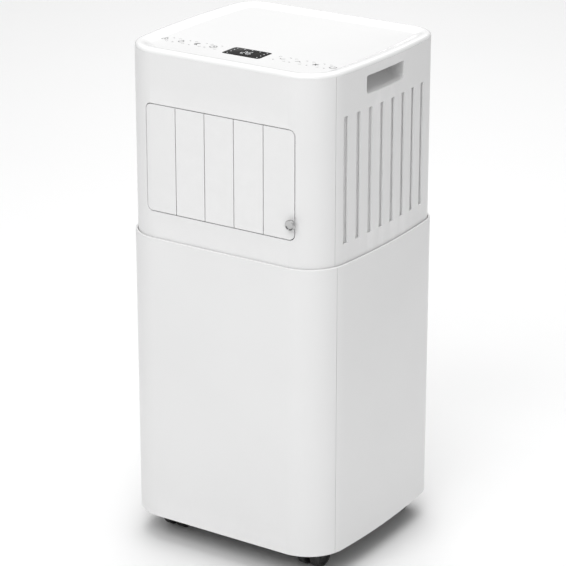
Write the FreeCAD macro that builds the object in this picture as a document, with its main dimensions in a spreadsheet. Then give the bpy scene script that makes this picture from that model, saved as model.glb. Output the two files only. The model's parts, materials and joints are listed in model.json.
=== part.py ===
import FreeCAD, Part
import math
import os
import re

import Sketcher
from FreeCAD import Placement, Rotation, Vector

# A dehumidifying portable air conditioner: a tall two-part cabinet on four casters. Cold dry air leaves
# through five vertical vanes at the front of the upper part, room air enters through slots in its sides, and
# the warm air leaves through a hose collar at the back of the lower part.
# Millimetres. The origin is on the floor under the middle of the cabinet. +X is the right-hand side seen from
# the front, -Y is the front and +Z is up.

SIZES = {
    # cabinet
    "case_width": 333, "case_depth": 303, "side_radius": 1108.7, "front_corner": 57.5, "rear_corner": 44,
    "upper_inset": 3.5, "wall": 2.5, "skirt": 38, "split": 445.3, "lap": 8.3, "lip_round": 1.6,
    "lid_base": 697, "top": 703, "seam": -112.4, "seam_gap": 0.5,
    # lid, display and touch keys
    "lid_round": 5.4, "rim_width": 9, "slope_width": 16, "dish": 4.3, "lid_slab": 1.5, "lid_skirt": 7,
    "lid_fit": 0.3, "window_width": 58.5, "window_depth": 34.2, "window_y": -82.6, "window_corner": 4.5,
    "window_thick": 1.3, "window_gap": 0.15, "window_ledge": 4, "board_width": 284, "board_depth": 30,
    "board_y": -82, "board_thick": 1.6, "board_drop": 9, "digit_width": 34, "digit_depth": 18,
    "boss_radius": 4, "boss_x": 96, "boss_y": 10, "key_pitch": 26.2, "key_first": 52.2,
    "spring_radius": 3.5, "spring_wire": 0.6,
    # outlet, vanes and their linkage
    "outlet_half": 116.8, "outlet_low": 481.9, "outlet_high": 630.3, "outlet_corner": 9, "vane_gap": 1.2,
    "vane_pitch": 45.8, "vane_thick": 3, "vane_axis": 6, "lug_radius": 3.5, "pin_radius": 2,
    "pin_fit": 0.08,
    "crank_length": 12, "crank_width": 6, "crank_pin": 1.5, "link_fit": 0.3, "layer": 3, "layer_gap": 0.5,
    "frame_half": 121, "frame_depth": 31.5, "guard_pitch": 24, "guard_size": 3,
    "knob_z": 505.4, "knob_radius": 7.3, "knob_reach": 8, "knob_stem": 1.6, "knob_root": 2,
    "knob_thick": 4.6, "knob_round": 1.8, "knob_hollow": 0.8,
    # side slots, filters and handles
    "slot_width": 9.1, "slot_pitch": 26.9, "slot_count": 8, "slot_first": -98.4, "slot_low": 472.2,
    "slot_high": 642.2, "filter_gap": 0.5, "filter_thick": 2.2, "filter_half": 104, "filter_margin": 6,
    "handle_low": 660.3, "handle_high": 685.3, "handle_front": -49.7, "handle_rear": 41.9,
    "handle_top_round": 3, "handle_base_round": 7, "cup_mouth": 159, "cup_depth": 30, "cup_wall": 2,
    "cup_knee": 675.2, "cup_turn": 14,
    # upper air system
    "coil_inner": 108, "coil_outer": 136, "coil_half": 95, "coil_low": 442, "coil_high": 648,
    "fin_thick": 1.2, "fin_count": 21, "tube_rows": 8, "tube_radius": 3.5,
    "upper_fan_y": 18, "upper_fan_z": 548, "upper_fan_radius": 74, "upper_fan_inner": 58,
    "upper_fan_half": 78, "fan_plate": 2, "fan_blades": 28, "blade_thick": 1.4, "blade_lean": 7,
    "shaft_radius": 4, "shaft_fit": 0.08, "hub_radius": 10, "upper_shell_radius": 92, "upper_shell_half": 100,
    "duct_wall": 2, "upper_motor_radius": 34, "upper_motor_near": 14, "upper_motor_far": 74,
    "upper_inlet": 60,
    # partition
    "tray_low": 428, "tray_thick": 3, "tray_rim": 8.5, "tray_inset": 3.2, "tray_wall": 2.5,
    # lower air system
    "lower_fan_x": -8, "lower_fan_y": -5, "lower_fan_radius": 74, "lower_fan_inner": 58,
    "lower_fan_low": 306, "lower_fan_high": 386, "lower_shell_x": 2, "lower_shell_radius": 93,
    "lower_shell_low": 295, "lower_shell_high": 396, "lower_inlet": 60, "lower_motor_radius": 36,
    "lower_motor_low": 396.5, "lower_motor_high": 424, "duct_left": 12, "plenum_half": 62, "plenum_front": 96,
    "plenum_rear": 119, "collar_x": 35, "collar_z": 342, "collar_bore": 60, "collar_wall": 3.5,
    "collar_flange": 70, "collar_flange_thick": 2.3, "collar_inner_end": 121, "collar_outer_end": 156,
    # rear panels
    "panel_half": 109.5, "panel_gap": 0.5, "grille_low": 83.5, "panel_split": 266, "panel_top": 414.5,
    "panel_flange": 6, "panel_thick": 2.8, "louvre_low": 96, "louvre_high": 6, "louvre_pitch": 12,
    "louvre_count": 14, "louvre_half": 92, "screw_radius": 2, "screw_fit": 0.1, "screw_head": 3.6,
    "screw_head_thick": 1.8, "screw_length": 6, "screw_x": 112.6,
    # refrigerant circuit
    "compressor_x": -70, "compressor_y": -45, "compressor_radius": 52, "compressor_low": 76,
    "compressor_high": 270, "dome": 14, "foot_reach": 68, "foot_width": 26, "foot_thick": 3,
    "grommet_radius": 9, "stud_radius": 3, "stud_fit": 0.3, "nut_across": 10, "nut_thick": 5,
    "accumulator_x": 10, "accumulator_radius": 24, "accumulator_low": 118, "accumulator_high": 246,
    "condenser_half": 100, "condenser_front": 98, "condenser_rear": 128, "condenser_low": 76,
    "condenser_high": 266, "end_plate": 1.5, "discharge_radius": 4, "discharge_side": -130,
    "discharge_level": 284, "liquid_radius": 3, "liquid_side": 130, "liquid_level": 455, "pipe_row": 113,
    "suction_radius": 5, "suction_level": 286, "suction_row": -112, "link_level": 636, "link_row": 126,
    "stub": 1.5,
    # condensate
    "splash_x": 60, "splash_z": 92, "splash_radius": 30, "splash_front": 80, "splash_rear": 92,
    "splash_motor_radius": 20, "splash_motor_front": 42, "splash_motor_rear": 74, "splash_vanes": 12,
    "float_x": -40, "float_y": 72, "float_stem": 4, "float_stem_high": 104, "float_radius": 12,
    "float_low": 60, "float_high": 76, "drain_x": -70, "drain_z": 62, "drain_bore": 6, "drain_wall": 2,
    "drain_inner_end": 128, "drain_outer_end": 152.5, "drain_flange": 11, "plug_head": 9, "plug_fit": 0.1,
    "plug_depth": 14, "plug_pull": 2.5,
    # electrics
    "box_left": 45, "box_right": 130, "box_front": -128, "box_rear": -70, "box_low": 85, "box_high": 262,
    "box_wall": 2, "capacitor_x": 68, "capacitor_y": -104, "capacitor_radius": 18, "capacitor_low": 110,
    "capacitor_high": 190, "gland_x": 80, "gland_bore": 4, "gland_radius": 7,
    "gland_flange": 10, "gland_outer_end": 154,
    # base pan and casters
    "pan_low": 50, "pan_thick": 3, "pan_rim": 75, "caster_x": 112, "caster_y": 105, "trail": 14,
    "wheel_radius": 19, "wheel_inner": 4.5, "wheel_outer": 16.5, "wheel_round": 3, "hood_radius": 22.3,
    "hood_gap": 1.4, "hood_half": 17.6, "hood_low": 22, "web_half": 3.5, "axle_radius": 2.5, "axle_fit": 0.08,
    "web_radius": 7, "cap_radius": 11, "cap_gap": 0.5, "stem_radius": 4.5, "stem_fit": 0.08,
    "stem_length": 19, "socket_radius": 9, "socket_high": 72,
}

doc = FreeCAD.newDocument("dehumidifying_air_conditioner")
sheet = doc.addObject("Spreadsheet::Sheet", "Sizes")
for row, (alias, number) in enumerate(SIZES.items(), start=1):
    sheet.set(f"A{row}", alias)
    sheet.set(f"B{row}", str(number))
    sheet.setAlias(f"B{row}", alias)
doc.recompute()

nodes = []
TURN = {
    "X": Rotation(Vector(0, 1, 0), 90), "Y": Rotation(Vector(1, 0, 0), -90),
    "-Y": Rotation(Vector(1, 0, 0), 90), "Z": Rotation(),
}


# ---- shared helpers --------------------------------------------------------------------------------------

def formula(text):
    """A formula in sheet names, such as 'case_width / 2', as FreeCAD's expression engine reads it."""
    return re.sub(r"[a-z][a-z_]*", lambda word: "Sizes." + word.group(0), str(text))


def value(text):
    """The number that a formula gives."""
    return float(sheet.evalExpression(formula(text)))


def bind(made, **formulas):
    """Tie properties of an object to formulas in sheet names."""
    for name, text in formulas.items():
        made.setExpression(name, formula(text))
    return made


def place(made, corner, rotation=None):
    """Put an object's origin at a corner given as three formulas."""
    made.Placement = Placement(Vector(), rotation or Rotation())
    for axis, text in zip("xyz", corner):
        made.setExpression(f"Placement.Base.{axis}", formula(text))
    return made


def node(made, label):
    """Keep an object as a sub-part with this name."""
    made.Label = label
    nodes.append(made)
    return made


def span(low, high):
    return f"({high}) - ({low})"


def box(name, xs, ys, zs):
    """A block between two formulas along each axis."""
    made = doc.addObject("Part::Box", name)
    bind(made, Length=span(*xs), Width=span(*ys), Height=span(*zs))
    return place(made, (xs[0], ys[0], zs[0]))


def rod(name, radius, axis, centre, ends):
    """A cylinder along X, Y or Z: its centre in the other two axes, and its two ends along its own."""
    made = doc.addObject("Part::Cylinder", name)
    bind(made, Radius=radius, Height=span(*ends))
    corner = list(centre)
    corner.insert("XYZ".index(axis), ends[0])
    return place(made, corner, TURN[axis])


def fuse(name, *pieces):
    made = doc.addObject("Part::MultiFuse", name)
    made.Shapes = list(pieces)
    return made


def cut(name, base, *tools):
    made = doc.addObject("Part::Cut", name)
    made.Base = base
    made.Tool = tools[0] if len(tools) == 1 else fuse(name + "_tools", *tools)
    return made


def group(name, *pieces):
    """Separate solids that share one node."""
    made = doc.addObject("Part::Compound", name)
    made.Links = list(pieces)
    return made


def new_body(label):
    return node(doc.addObject("PartDesign::Body", label), label)


def sketch_on(body, role, name, offset="0"):
    """A sketch on one of the body's own origin planes, moved along that plane's normal."""
    made = body.newObject("Sketcher::SketchObject", name)
    plane = [feature for feature in body.Origin.OriginFeatures if feature.Role == role][0]
    made.AttachmentSupport = (plane, [""])
    made.MapMode = "FlatFace"
    made.setExpression("AttachmentOffset.Base.z", formula(offset))
    return made


def fix(sketch, kind, geometry, point, text):
    """Hold a point's distance from the sketch's origin to a formula."""
    index = sketch.addConstraint(Sketcher.Constraint(kind, -1, 1, geometry, point, value(text)))
    sketch.setExpression(f"Constraints[{index}]", formula(text))


def fix_radius(sketch, geometry, text):
    index = sketch.addConstraint(Sketcher.Constraint("Radius", geometry, value(text)))
    sketch.setExpression(f"Constraints[{index}]", formula(text))


def circle(sketch, centre, radius):
    """A circle whose centre and radius are formulas."""
    middle = Vector(value(centre[0]), value(centre[1]), 0)
    drawn = sketch.addGeometry(Part.Circle(middle, Vector(0, 0, 1), value(radius)), False)
    fix(sketch, "DistanceX", drawn, 3, centre[0])
    fix(sketch, "DistanceY", drawn, 3, centre[1])
    fix_radius(sketch, drawn, radius)


def polygon(sketch, points):
    """A closed outline of straight lines between points given as pairs of formulas."""
    first = sketch.GeometryCount
    corners = [Vector(value(x), value(y), 0) for x, y in points]
    for corner, following in zip(corners, corners[1:] + corners[:1]):
        sketch.addGeometry(Part.LineSegment(corner, following), False)
    for i, (x, y) in enumerate(points):
        before = first + (i - 1) % len(points)
        sketch.addConstraint(Sketcher.Constraint("Coincident", before, 2, first + i, 1))
        fix(sketch, "DistanceX", first + i, 1, x)
        fix(sketch, "DistanceY", first + i, 1, y)


def rectangle(sketch, xs, ys):
    polygon(sketch, [(xs[0], ys[0]), (xs[1], ys[0]), (xs[1], ys[1]), (xs[0], ys[1])])


def chain(sketch, first, count):
    """Join consecutive curves of a closed outline end to start, each tangent to the next."""
    for i in range(count):
        following = first + (i + 1) % count
        sketch.addConstraint(Sketcher.Constraint("Tangent", first + i, 2, following, 1))


def arc(sketch, x, y, radius, start, end):
    circle_at = Part.Circle(Vector(x, y, 0), Vector(0, 0, 1), radius)
    return sketch.addGeometry(Part.ArcOfCircle(circle_at, start, end), False)


def rounded(sketch, xs, ys, low_round, high_round):
    """A rectangle whose lower and upper corners are rounded by two radii."""
    first = sketch.GeometryCount
    left, right = value(xs[0]), value(xs[1])
    low, high = value(ys[0]), value(ys[1])
    base, crown = value(low_round), value(high_round)
    quarter = math.pi / 2
    sketch.addGeometry(Part.LineSegment(Vector(left + base, low, 0), Vector(right - base, low, 0)), False)
    arc(sketch, right - base, low + base, base, -quarter, 0)
    sketch.addGeometry(Part.LineSegment(Vector(right, low + base, 0), Vector(right, high - crown, 0)), False)
    arc(sketch, right - crown, high - crown, crown, 0, quarter)
    sketch.addGeometry(Part.LineSegment(Vector(right - crown, high, 0), Vector(left + crown, high, 0)), False)
    arc(sketch, left + crown, high - crown, crown, quarter, 2 * quarter)
    sketch.addGeometry(Part.LineSegment(Vector(left, high - crown, 0), Vector(left, low + base, 0)), False)
    arc(sketch, left + base, low + base, base, 2 * quarter, 3 * quarter)
    chain(sketch, first, 8)
    for line, kind in ((0, "Horizontal"), (2, "Vertical"), (4, "Horizontal"), (6, "Vertical")):
        sketch.addConstraint(Sketcher.Constraint(kind, first + line))
    for corner, text in ((1, low_round), (3, high_round), (5, high_round), (7, low_round)):
        fix_radius(sketch, first + corner, text)
    fix(sketch, "DistanceY", first, 1, ys[0])
    fix(sketch, "DistanceX", first + 2, 1, xs[1])
    fix(sketch, "DistanceY", first + 4, 1, ys[1])
    fix(sketch, "DistanceX", first + 6, 1, xs[0])


def case_outline(sketch, inset):
    """The cabinet's plan, moved inwards: flat front and back, bowed sides and round corners."""
    first = sketch.GeometryCount
    half_depth = value(f"case_depth / 2 - ({inset})")
    radius = value(f"side_radius - ({inset})")
    middle = value("case_width / 2 - side_radius")
    front, rear = value(f"front_corner - ({inset})"), value(f"rear_corner - ({inset})")
    front_y, rear_y = front - half_depth, half_depth - rear
    front_x = middle + math.sqrt((radius - front) ** 2 - front_y ** 2)
    rear_x = middle + math.sqrt((radius - rear) ** 2 - rear_y ** 2)
    low, high = math.asin(front_y / (radius - front)), math.asin(rear_y / (radius - rear))
    quarter = math.pi / 2
    flat_front = Part.LineSegment(Vector(-front_x, -half_depth, 0), Vector(front_x, -half_depth, 0))
    flat_rear = Part.LineSegment(Vector(rear_x, half_depth, 0), Vector(-rear_x, half_depth, 0))
    sketch.addGeometry(flat_front, False)
    arc(sketch, front_x, front_y, front, -quarter, low)
    arc(sketch, middle, 0, radius, low, high)
    arc(sketch, rear_x, rear_y, rear, high, quarter)
    sketch.addGeometry(flat_rear, False)
    arc(sketch, -rear_x, rear_y, rear, quarter, 2 * quarter - high)
    arc(sketch, -middle, 0, radius, 2 * quarter - high, 2 * quarter - low)
    arc(sketch, -front_x, front_y, front, 2 * quarter - low, 3 * quarter)
    chain(sketch, first, 8)
    for line in (0, 4):
        sketch.addConstraint(Sketcher.Constraint("Horizontal", first + line))
    fix(sketch, "DistanceY", first, 1, f"({inset}) - case_depth / 2")
    fix(sketch, "DistanceY", first + 4, 1, f"case_depth / 2 - ({inset})")
    for corner, text in ((1, "front_corner"), (3, "rear_corner"), (5, "rear_corner"), (7, "front_corner")):
        fix_radius(sketch, first + corner, f"{text} - ({inset})")
    for side, sign in ((2, ""), (6, "-")):
        fix_radius(sketch, first + side, f"side_radius - ({inset})")
        fix(sketch, "DistanceX", first + side, 3, f"{sign}(case_width / 2 - side_radius)")
        sketch.addConstraint(Sketcher.Constraint("PointOnObject", first + side, 3, -1))


def pad(body, sketch, length, both_ways=False):
    made = body.newObject("PartDesign::Pad", sketch.Name + "_pad")
    made.Profile = sketch
    made.Midplane = both_ways
    return bind(made, Length=length)


def pocket(body, sketch, length=None, both_ways=False, backwards=False):
    """Cut a sketch into the body against its normal, or all the way through where no length is given."""
    made = body.newObject("PartDesign::Pocket", sketch.Name + "_pocket")
    made.Profile = sketch
    made.Midplane = both_ways
    made.Reversed = backwards
    if length is None:
        made.Type = "ThroughAll"
        return made
    return bind(made, Length=length)


def case_pad(body, name, inset, low, high, thickness=None):
    """A slab of the cabinet's plan, or a ring of it where a thickness is given."""
    plan = sketch_on(body, "XY_Plane", name, low)
    case_outline(plan, inset)
    if thickness:
        case_outline(plan, f"{inset} + {thickness}")
    return pad(body, plan, span(low, high))


def inside_case(name, made, inset, low, high):
    """Trim a piece to the cabinet's plan, moved inwards."""
    core = doc.addObject("PartDesign::Body", name + "_core")
    case_pad(core, name + "_plan", inset, low, high)
    kept = doc.addObject("Part::MultiCommon", name)
    kept.Shapes = [made, core]
    return kept


def trim_outside(body, name, inset, height):
    """Cut away what stands outside the cabinet's plan, up to a height."""
    plan = sketch_on(body, "XY_Plane", name, height)
    case_outline(plan, inset)
    rectangle(plan, ("-case_width", "case_width"), ("-case_depth", "case_depth"))
    return pocket(body, plan)


def keep(body, name, xs, ys, height):
    """Cut away everything of a shell, up to a height, that lies in a plan rectangle."""
    plan = sketch_on(body, "XY_Plane", name, height)
    rectangle(plan, xs, ys)
    return pocket(body, plan)


def edges_where(feature, test):
    """Names of the edges of a feature whose middle passes a test."""
    doc.recompute()
    found = []
    for number, edge in enumerate(feature.Shape.Edges, start=1):
        if test(edge.BoundBox.Center, edge):
            found.append(f"Edge{number}")
    return found


def round_edges(body, feature, edges, radius):
    made = body.newObject("PartDesign::Fillet", feature.Name + "_round")
    made.Base = (feature, edges)
    return bind(made, Radius=radius)


def line_of(body, feature, sketch, length, occurrences, axis="H_Axis"):
    """Repeat a feature in a straight row."""
    made = body.newObject("PartDesign::LinearPattern", feature.Name + "_row")
    made.Originals = [feature]
    made.Direction = (sketch, [axis])
    bind(made, Length=length, Occurrences=occurrences)
    body.Tip = made
    return made


def ring_of(body, feature, sketch, occurrences):
    """Repeat a feature round the sketch's own normal."""
    made = body.newObject("PartDesign::PolarPattern", feature.Name + "_ring")
    made.Originals = [feature]
    made.Axis = (sketch, ["N_Axis"])
    made.Angle = 360
    bind(made, Occurrences=occurrences)
    body.Tip = made
    return made


def turned(label, profile, axis, centre):
    """A body turned from a profile of (radius, height) formulas, its own axis laid along X, Y or Z."""
    body = doc.addObject("PartDesign::Body", label)
    outline = sketch_on(body, "XZ_Plane", label + "_profile")
    polygon(outline, profile)
    made = body.newObject("PartDesign::Revolution", label + "_turning")
    made.Profile = outline
    made.ReferenceAxis = (outline, ["V_Axis"])
    made.Angle = 360
    place(body, centre, TURN[axis])
    return body


def tube(name, points, radius, bend):
    """A bent pipe: straight runs between points, joined by tangent arcs."""
    corners = [Vector(*(value(number) for number in point)) for point in points]
    size, turn = value(radius), value(bend)
    edges, start = [], corners[0]
    for before, corner, after in zip(corners, corners[1:], corners[2:]):
        inward = (before - corner).normalize()
        outward = (after - corner).normalize()
        half_angle = inward.getAngle(outward) / 2
        trim = turn / math.tan(half_angle)
        leave, join = corner + inward * trim, corner + outward * trim
        middle = corner + (inward + outward).normalize() * (turn / math.sin(half_angle) - turn)
        edges.append(Part.LineSegment(start, leave).toShape())
        edges.append(Part.Arc(leave, middle, join).toShape())
        start = join
    edges.append(Part.LineSegment(start, corners[-1]).toShape())
    along = (corners[1] - corners[0]).normalize()
    section = Part.Wire(Part.Circle(corners[0], along, size).toShape())
    made = doc.addObject("Part::Feature", name)
    made.Shape = Part.Wire(edges).makePipeShell([section], True, False)
    made.Placement = Placement()
    return made


# ---- cabinet ---------------------------------------------------------------------------------------------

def casing(label, inset, low, high):
    """A ring of the cabinet's wall."""
    body = new_body(label)
    made = case_pad(body, label + "_wall", inset, low, high, "wall")
    return body, made


def drop_rear(body, label):
    """Leave only the front shell, which wraps round the front corners as far as the seam."""
    keep(body, label + "_seam", ("-case_width", "case_width"), ("seam - seam_gap / 2", "case_depth"), "top")


def drop_front(body, label):
    """Leave only the rear shell: both sides behind the seam, and the back."""
    keep(body, label + "_seam", ("-case_width", "case_width"), ("-case_depth", "seam + seam_gap / 2"), "top")


def lip_edges(feature, height):
    """The outer edge of the lower casing's lip, at the given height."""
    half_width, half_depth = value("case_width / 2 - wall / 2"), value("case_depth / 2 - wall / 2")

    def outer(centre, edge):
        if abs(centre.z - height) > 0.01 or edge.BoundBox.ZLength > 0.01:
            return False
        box_of = edge.BoundBox
        reach_x = max(abs(box_of.XMin), abs(box_of.XMax))
        reach_y = max(abs(box_of.YMin), abs(box_of.YMax))
        return reach_x > half_width or reach_y > half_depth
    return edges_where(feature, outer)


def front_upper_casing():
    body, _ = casing("front_upper_casing", "upper_inset", "split - lap", "lid_base")
    drop_rear(body, "front_upper")
    outlet = sketch_on(body, "XZ_Plane", "outlet")
    rounded(outlet, ("-outlet_half", "outlet_half"), ("outlet_low", "outlet_high"),
            "outlet_corner", "outlet_corner")
    pocket(body, outlet, backwards=True)


def rear_upper_casing():
    body, _ = casing("rear_upper_casing", "upper_inset", "split - lap", "lid_base")
    drop_front(body, "rear_upper")
    slot = sketch_on(body, "YZ_Plane", "slot")
    rectangle(slot, ("slot_first", "slot_first + slot_width"), ("slot_low", "slot_high"))
    opening = pocket(body, slot, both_ways=True)
    line_of(body, opening, slot, "slot_pitch * (slot_count - 1)", "slot_count")
    handle = sketch_on(body, "YZ_Plane", "handle")
    rounded(handle, ("handle_front", "handle_rear"), ("handle_low", "handle_high"),
            "handle_base_round", "handle_top_round")
    pocket(body, handle, both_ways=True)


def front_lower_casing():
    body, wall = casing("front_lower_casing", "0", "skirt", "split")
    round_edges(body, wall, lip_edges(wall, value("split")), "lip_round")
    drop_rear(body, "front_lower")


def rear_lower_casing():
    body, wall = casing("rear_lower_casing", "0", "skirt", "split")
    round_edges(body, wall, lip_edges(wall, value("split")), "lip_round")
    drop_front(body, "rear_lower")
    window = sketch_on(body, "XZ_Plane", "rear_window")
    rectangle(window, ("-panel_half - panel_gap", "panel_half + panel_gap"),
              ("grille_low - panel_gap", "panel_top + panel_gap"))
    pocket(body, window)
    holes = sketch_on(body, "XZ_Plane", "rear_holes")
    circle(holes, ("drain_x", "drain_z"), "drain_bore + drain_wall + panel_gap")
    circle(holes, ("gland_x", "drain_z"), "gland_radius + panel_gap")
    for x, z in screw_places():
        circle(holes, (x, z), "screw_radius + screw_fit")
    pocket(body, holes)


def top_lid():
    body = new_body("top_lid")
    slab = case_pad(body, "lid_slab", "upper_inset", "lid_base", "top")
    height = value("top")
    crown = edges_where(slab, lambda centre, edge: abs(centre.z - height) < 0.01)
    round_edges(body, slab, crown, "lid_round")
    rim = sketch_on(body, "XY_Plane", "dish_rim", "top")
    case_outline(rim, "upper_inset + rim_width")
    floor = sketch_on(body, "XY_Plane", "dish_floor", "top - dish")
    case_outline(floor, "upper_inset + rim_width + slope_width")
    dish = body.newObject("PartDesign::SubtractiveLoft", "dish_slope")
    dish.Profile = rim
    dish.Sections = [floor]
    dish.Ruled = True
    case_pad(body, "lid_underside", "upper_inset + wall + lid_fit", "lid_base - lid_slab", "lid_base")
    case_pad(body, "lid_skirt_ring", "upper_inset + wall + lid_fit", "lid_base - lid_skirt",
             "lid_base - lid_slab", "cup_wall")
    bosses = sketch_on(body, "XY_Plane", "board_bosses", "top - dish - board_drop")
    for x, y in board_screw_places():
        circle(bosses, (x, y), "boss_radius")
    pad(body, bosses, "lid_base - lid_slab - (top - dish - board_drop)")
    rebate = sketch_on(body, "XY_Plane", "window_rebate", "top - dish")
    window_outline(rebate, "window_gap")
    pocket(body, rebate, "window_thick")
    opening = sketch_on(body, "XY_Plane", "window_opening", "top - dish")
    window_outline(opening, "-window_ledge")
    pocket(body, opening)


def window_outline(sketch, grow):
    """The display window's outline, grown or shrunk all round."""
    rounded(sketch, (f"-window_width / 2 - ({grow})", f"window_width / 2 + {grow}"),
            (f"window_y - window_depth / 2 - ({grow})", f"window_y + window_depth / 2 + {grow}"),
            f"window_corner + ({grow}) / 2", f"window_corner + ({grow}) / 2")


def display_window():
    body = new_body("display_window")
    outline = sketch_on(body, "XY_Plane", "window_face", "top - dish - window_thick")
    window_outline(outline, "0")
    pad(body, outline, "window_thick")


def board_screw_places():
    """Where four screws hold the control board to the lid's bosses."""
    xs = ("-boss_x - key_pitch - boss_y", "-boss_x + key_pitch * 2.2", "boss_x - key_pitch * 2.2",
          "boss_x + key_pitch + boss_y")
    return [(x, "board_y - boss_y") for x in xs]


def control_board():
    """A strip under the touch keys, with the block of digits standing under the window."""
    level = "(top - dish - board_drop)"
    board = box("board_strip", ("-board_width / 2", "board_width / 2"),
                ("board_y - board_depth / 2", "board_y + board_depth / 2"), (f"{level} - board_thick", level))
    digits = box("board_digits", ("-digit_width / 2", "digit_width / 2"),
                 ("window_y - digit_depth / 2", "window_y + digit_depth / 2"),
                 (f"{level} - board_thick / 2", "top - dish - window_thick - window_gap"))
    holes = [rod(f"board_hole_{i}", "screw_radius + screw_fit", "Z", place_of,
                 (f"{level} - board_thick * 2", f"{level} + board_thick"))
             for i, place_of in enumerate(board_screw_places())]
    node(cut("board_made", fuse("board_solid", board, digits), *holes), "control_board")


def touch_springs():
    """A contact spring under each of the eight touch keys."""
    level = "top - dish - board_drop"
    springs = []
    for side in ("-", ""):
        for number in range(4):
            middle = (f"{side}(key_first + key_pitch * {number})", "board_y")
            ends = (level, "lid_base - lid_slab")
            name = f"spring_{'left' if side else 'right'}_{number}"
            outside = rod(name + "_outside", "spring_radius", "Z", middle, ends)
            inside = rod(name + "_inside", "spring_radius - spring_wire", "Z", middle, ends)
            springs.append(cut(name, outside, inside))
    node(group("springs", *springs), "touch_springs")


# ---- outlet ----------------------------------------------------------------------------------------------

FACE = "(upper_inset - case_depth / 2)"
AXIS_Y = f"({FACE} + vane_axis)"
KNOB_X = "(outlet_half - vane_gap - knob_stem)"
CRANK_LOW = "outlet_high + layer + layer_gap * 2"
LINK_LOW = f"({CRANK_LOW} + layer + layer_gap)"
VANES = 5


def vane_span(number):
    """The left and right edges of a vane, counted from the left, with a gap to each neighbour."""
    left = f"vane_pitch * {number - VANES / 2 - 1} + vane_gap / 2"
    right = f"vane_pitch * {number - VANES / 2} - vane_gap / 2"
    if number == 1:
        left = "vane_gap - outlet_half"
    if number == VANES:
        right = "outlet_half - vane_gap"
    return left, right


def vane_middle(number):
    left, right = vane_span(number)
    return f"(({left}) + ({right})) / 2"


def vane(number):
    """An upright blade with a pin at each end, and a crank on its upper pin for the linkage."""
    left, right = vane_span(number)
    middle = vane_middle(number)
    low, high = "outlet_low + vane_gap", "outlet_high - vane_gap"
    name = f"vane_{number}"
    body = new_body(name)
    blade = sketch_on(body, "XZ_Plane", name + "_blade", f"-{FACE} - vane_thick")
    outer = "outlet_corner - vane_gap"
    if number in (1, VANES):
        end_vane_outline(blade, left, right, low, high, outer, number == VANES)
    else:
        rectangle(blade, (left, right), (low, high))
    pad(body, blade, "vane_thick")
    if number in (1, VANES):
        trim_outside(body, name + "_face", "upper_inset", "top")
    if number == VANES:
        seat = sketch_on(body, "XZ_Plane", "knob_seat", f"-{FACE}")
        circle(seat, (KNOB_X, "knob_z"), "knob_stem")
        pocket(body, seat, "knob_root")
    for end, base, top in (("foot", low, f"{low} + layer"), ("head", f"{high} - layer", high)):
        lug = sketch_on(body, "XY_Plane", f"{name}_{end}_lug", base)
        rectangle(lug, (f"{middle} - lug_radius", f"{middle} + lug_radius"),
                  (f"{FACE} + vane_thick / 2", f"{AXIS_Y} + lug_radius"))
        pad(body, lug, span(base, top))
    low_pin = sketch_on(body, "XY_Plane", name + "_low_pin", "outlet_low - layer")
    circle(low_pin, (middle, AXIS_Y), "pin_radius")
    pad(body, low_pin, span("outlet_low - layer", f"{low} + layer / 2"))
    high_pin = sketch_on(body, "XY_Plane", name + "_high_pin", f"{high} - layer / 2")
    circle(high_pin, (middle, AXIS_Y), "pin_radius")
    pad(body, high_pin, span(f"{high} - layer / 2", "outlet_high + layer * 2"))
    crank = sketch_on(body, "XY_Plane", name + "_crank", CRANK_LOW)
    rectangle(crank, (f"{middle} - crank_width / 2", f"{middle} + crank_width / 2"),
              (AXIS_Y, f"{AXIS_Y} + crank_length + crank_width / 2"))
    pad(body, crank, "layer")
    crank_pin = sketch_on(body, "XY_Plane", name + "_crank_pin", f"{CRANK_LOW} + layer / 2")
    circle(crank_pin, (middle, f"{AXIS_Y} + crank_length"), "crank_pin")
    pad(body, crank_pin, "layer * 1.5 + layer_gap")
    return body


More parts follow.
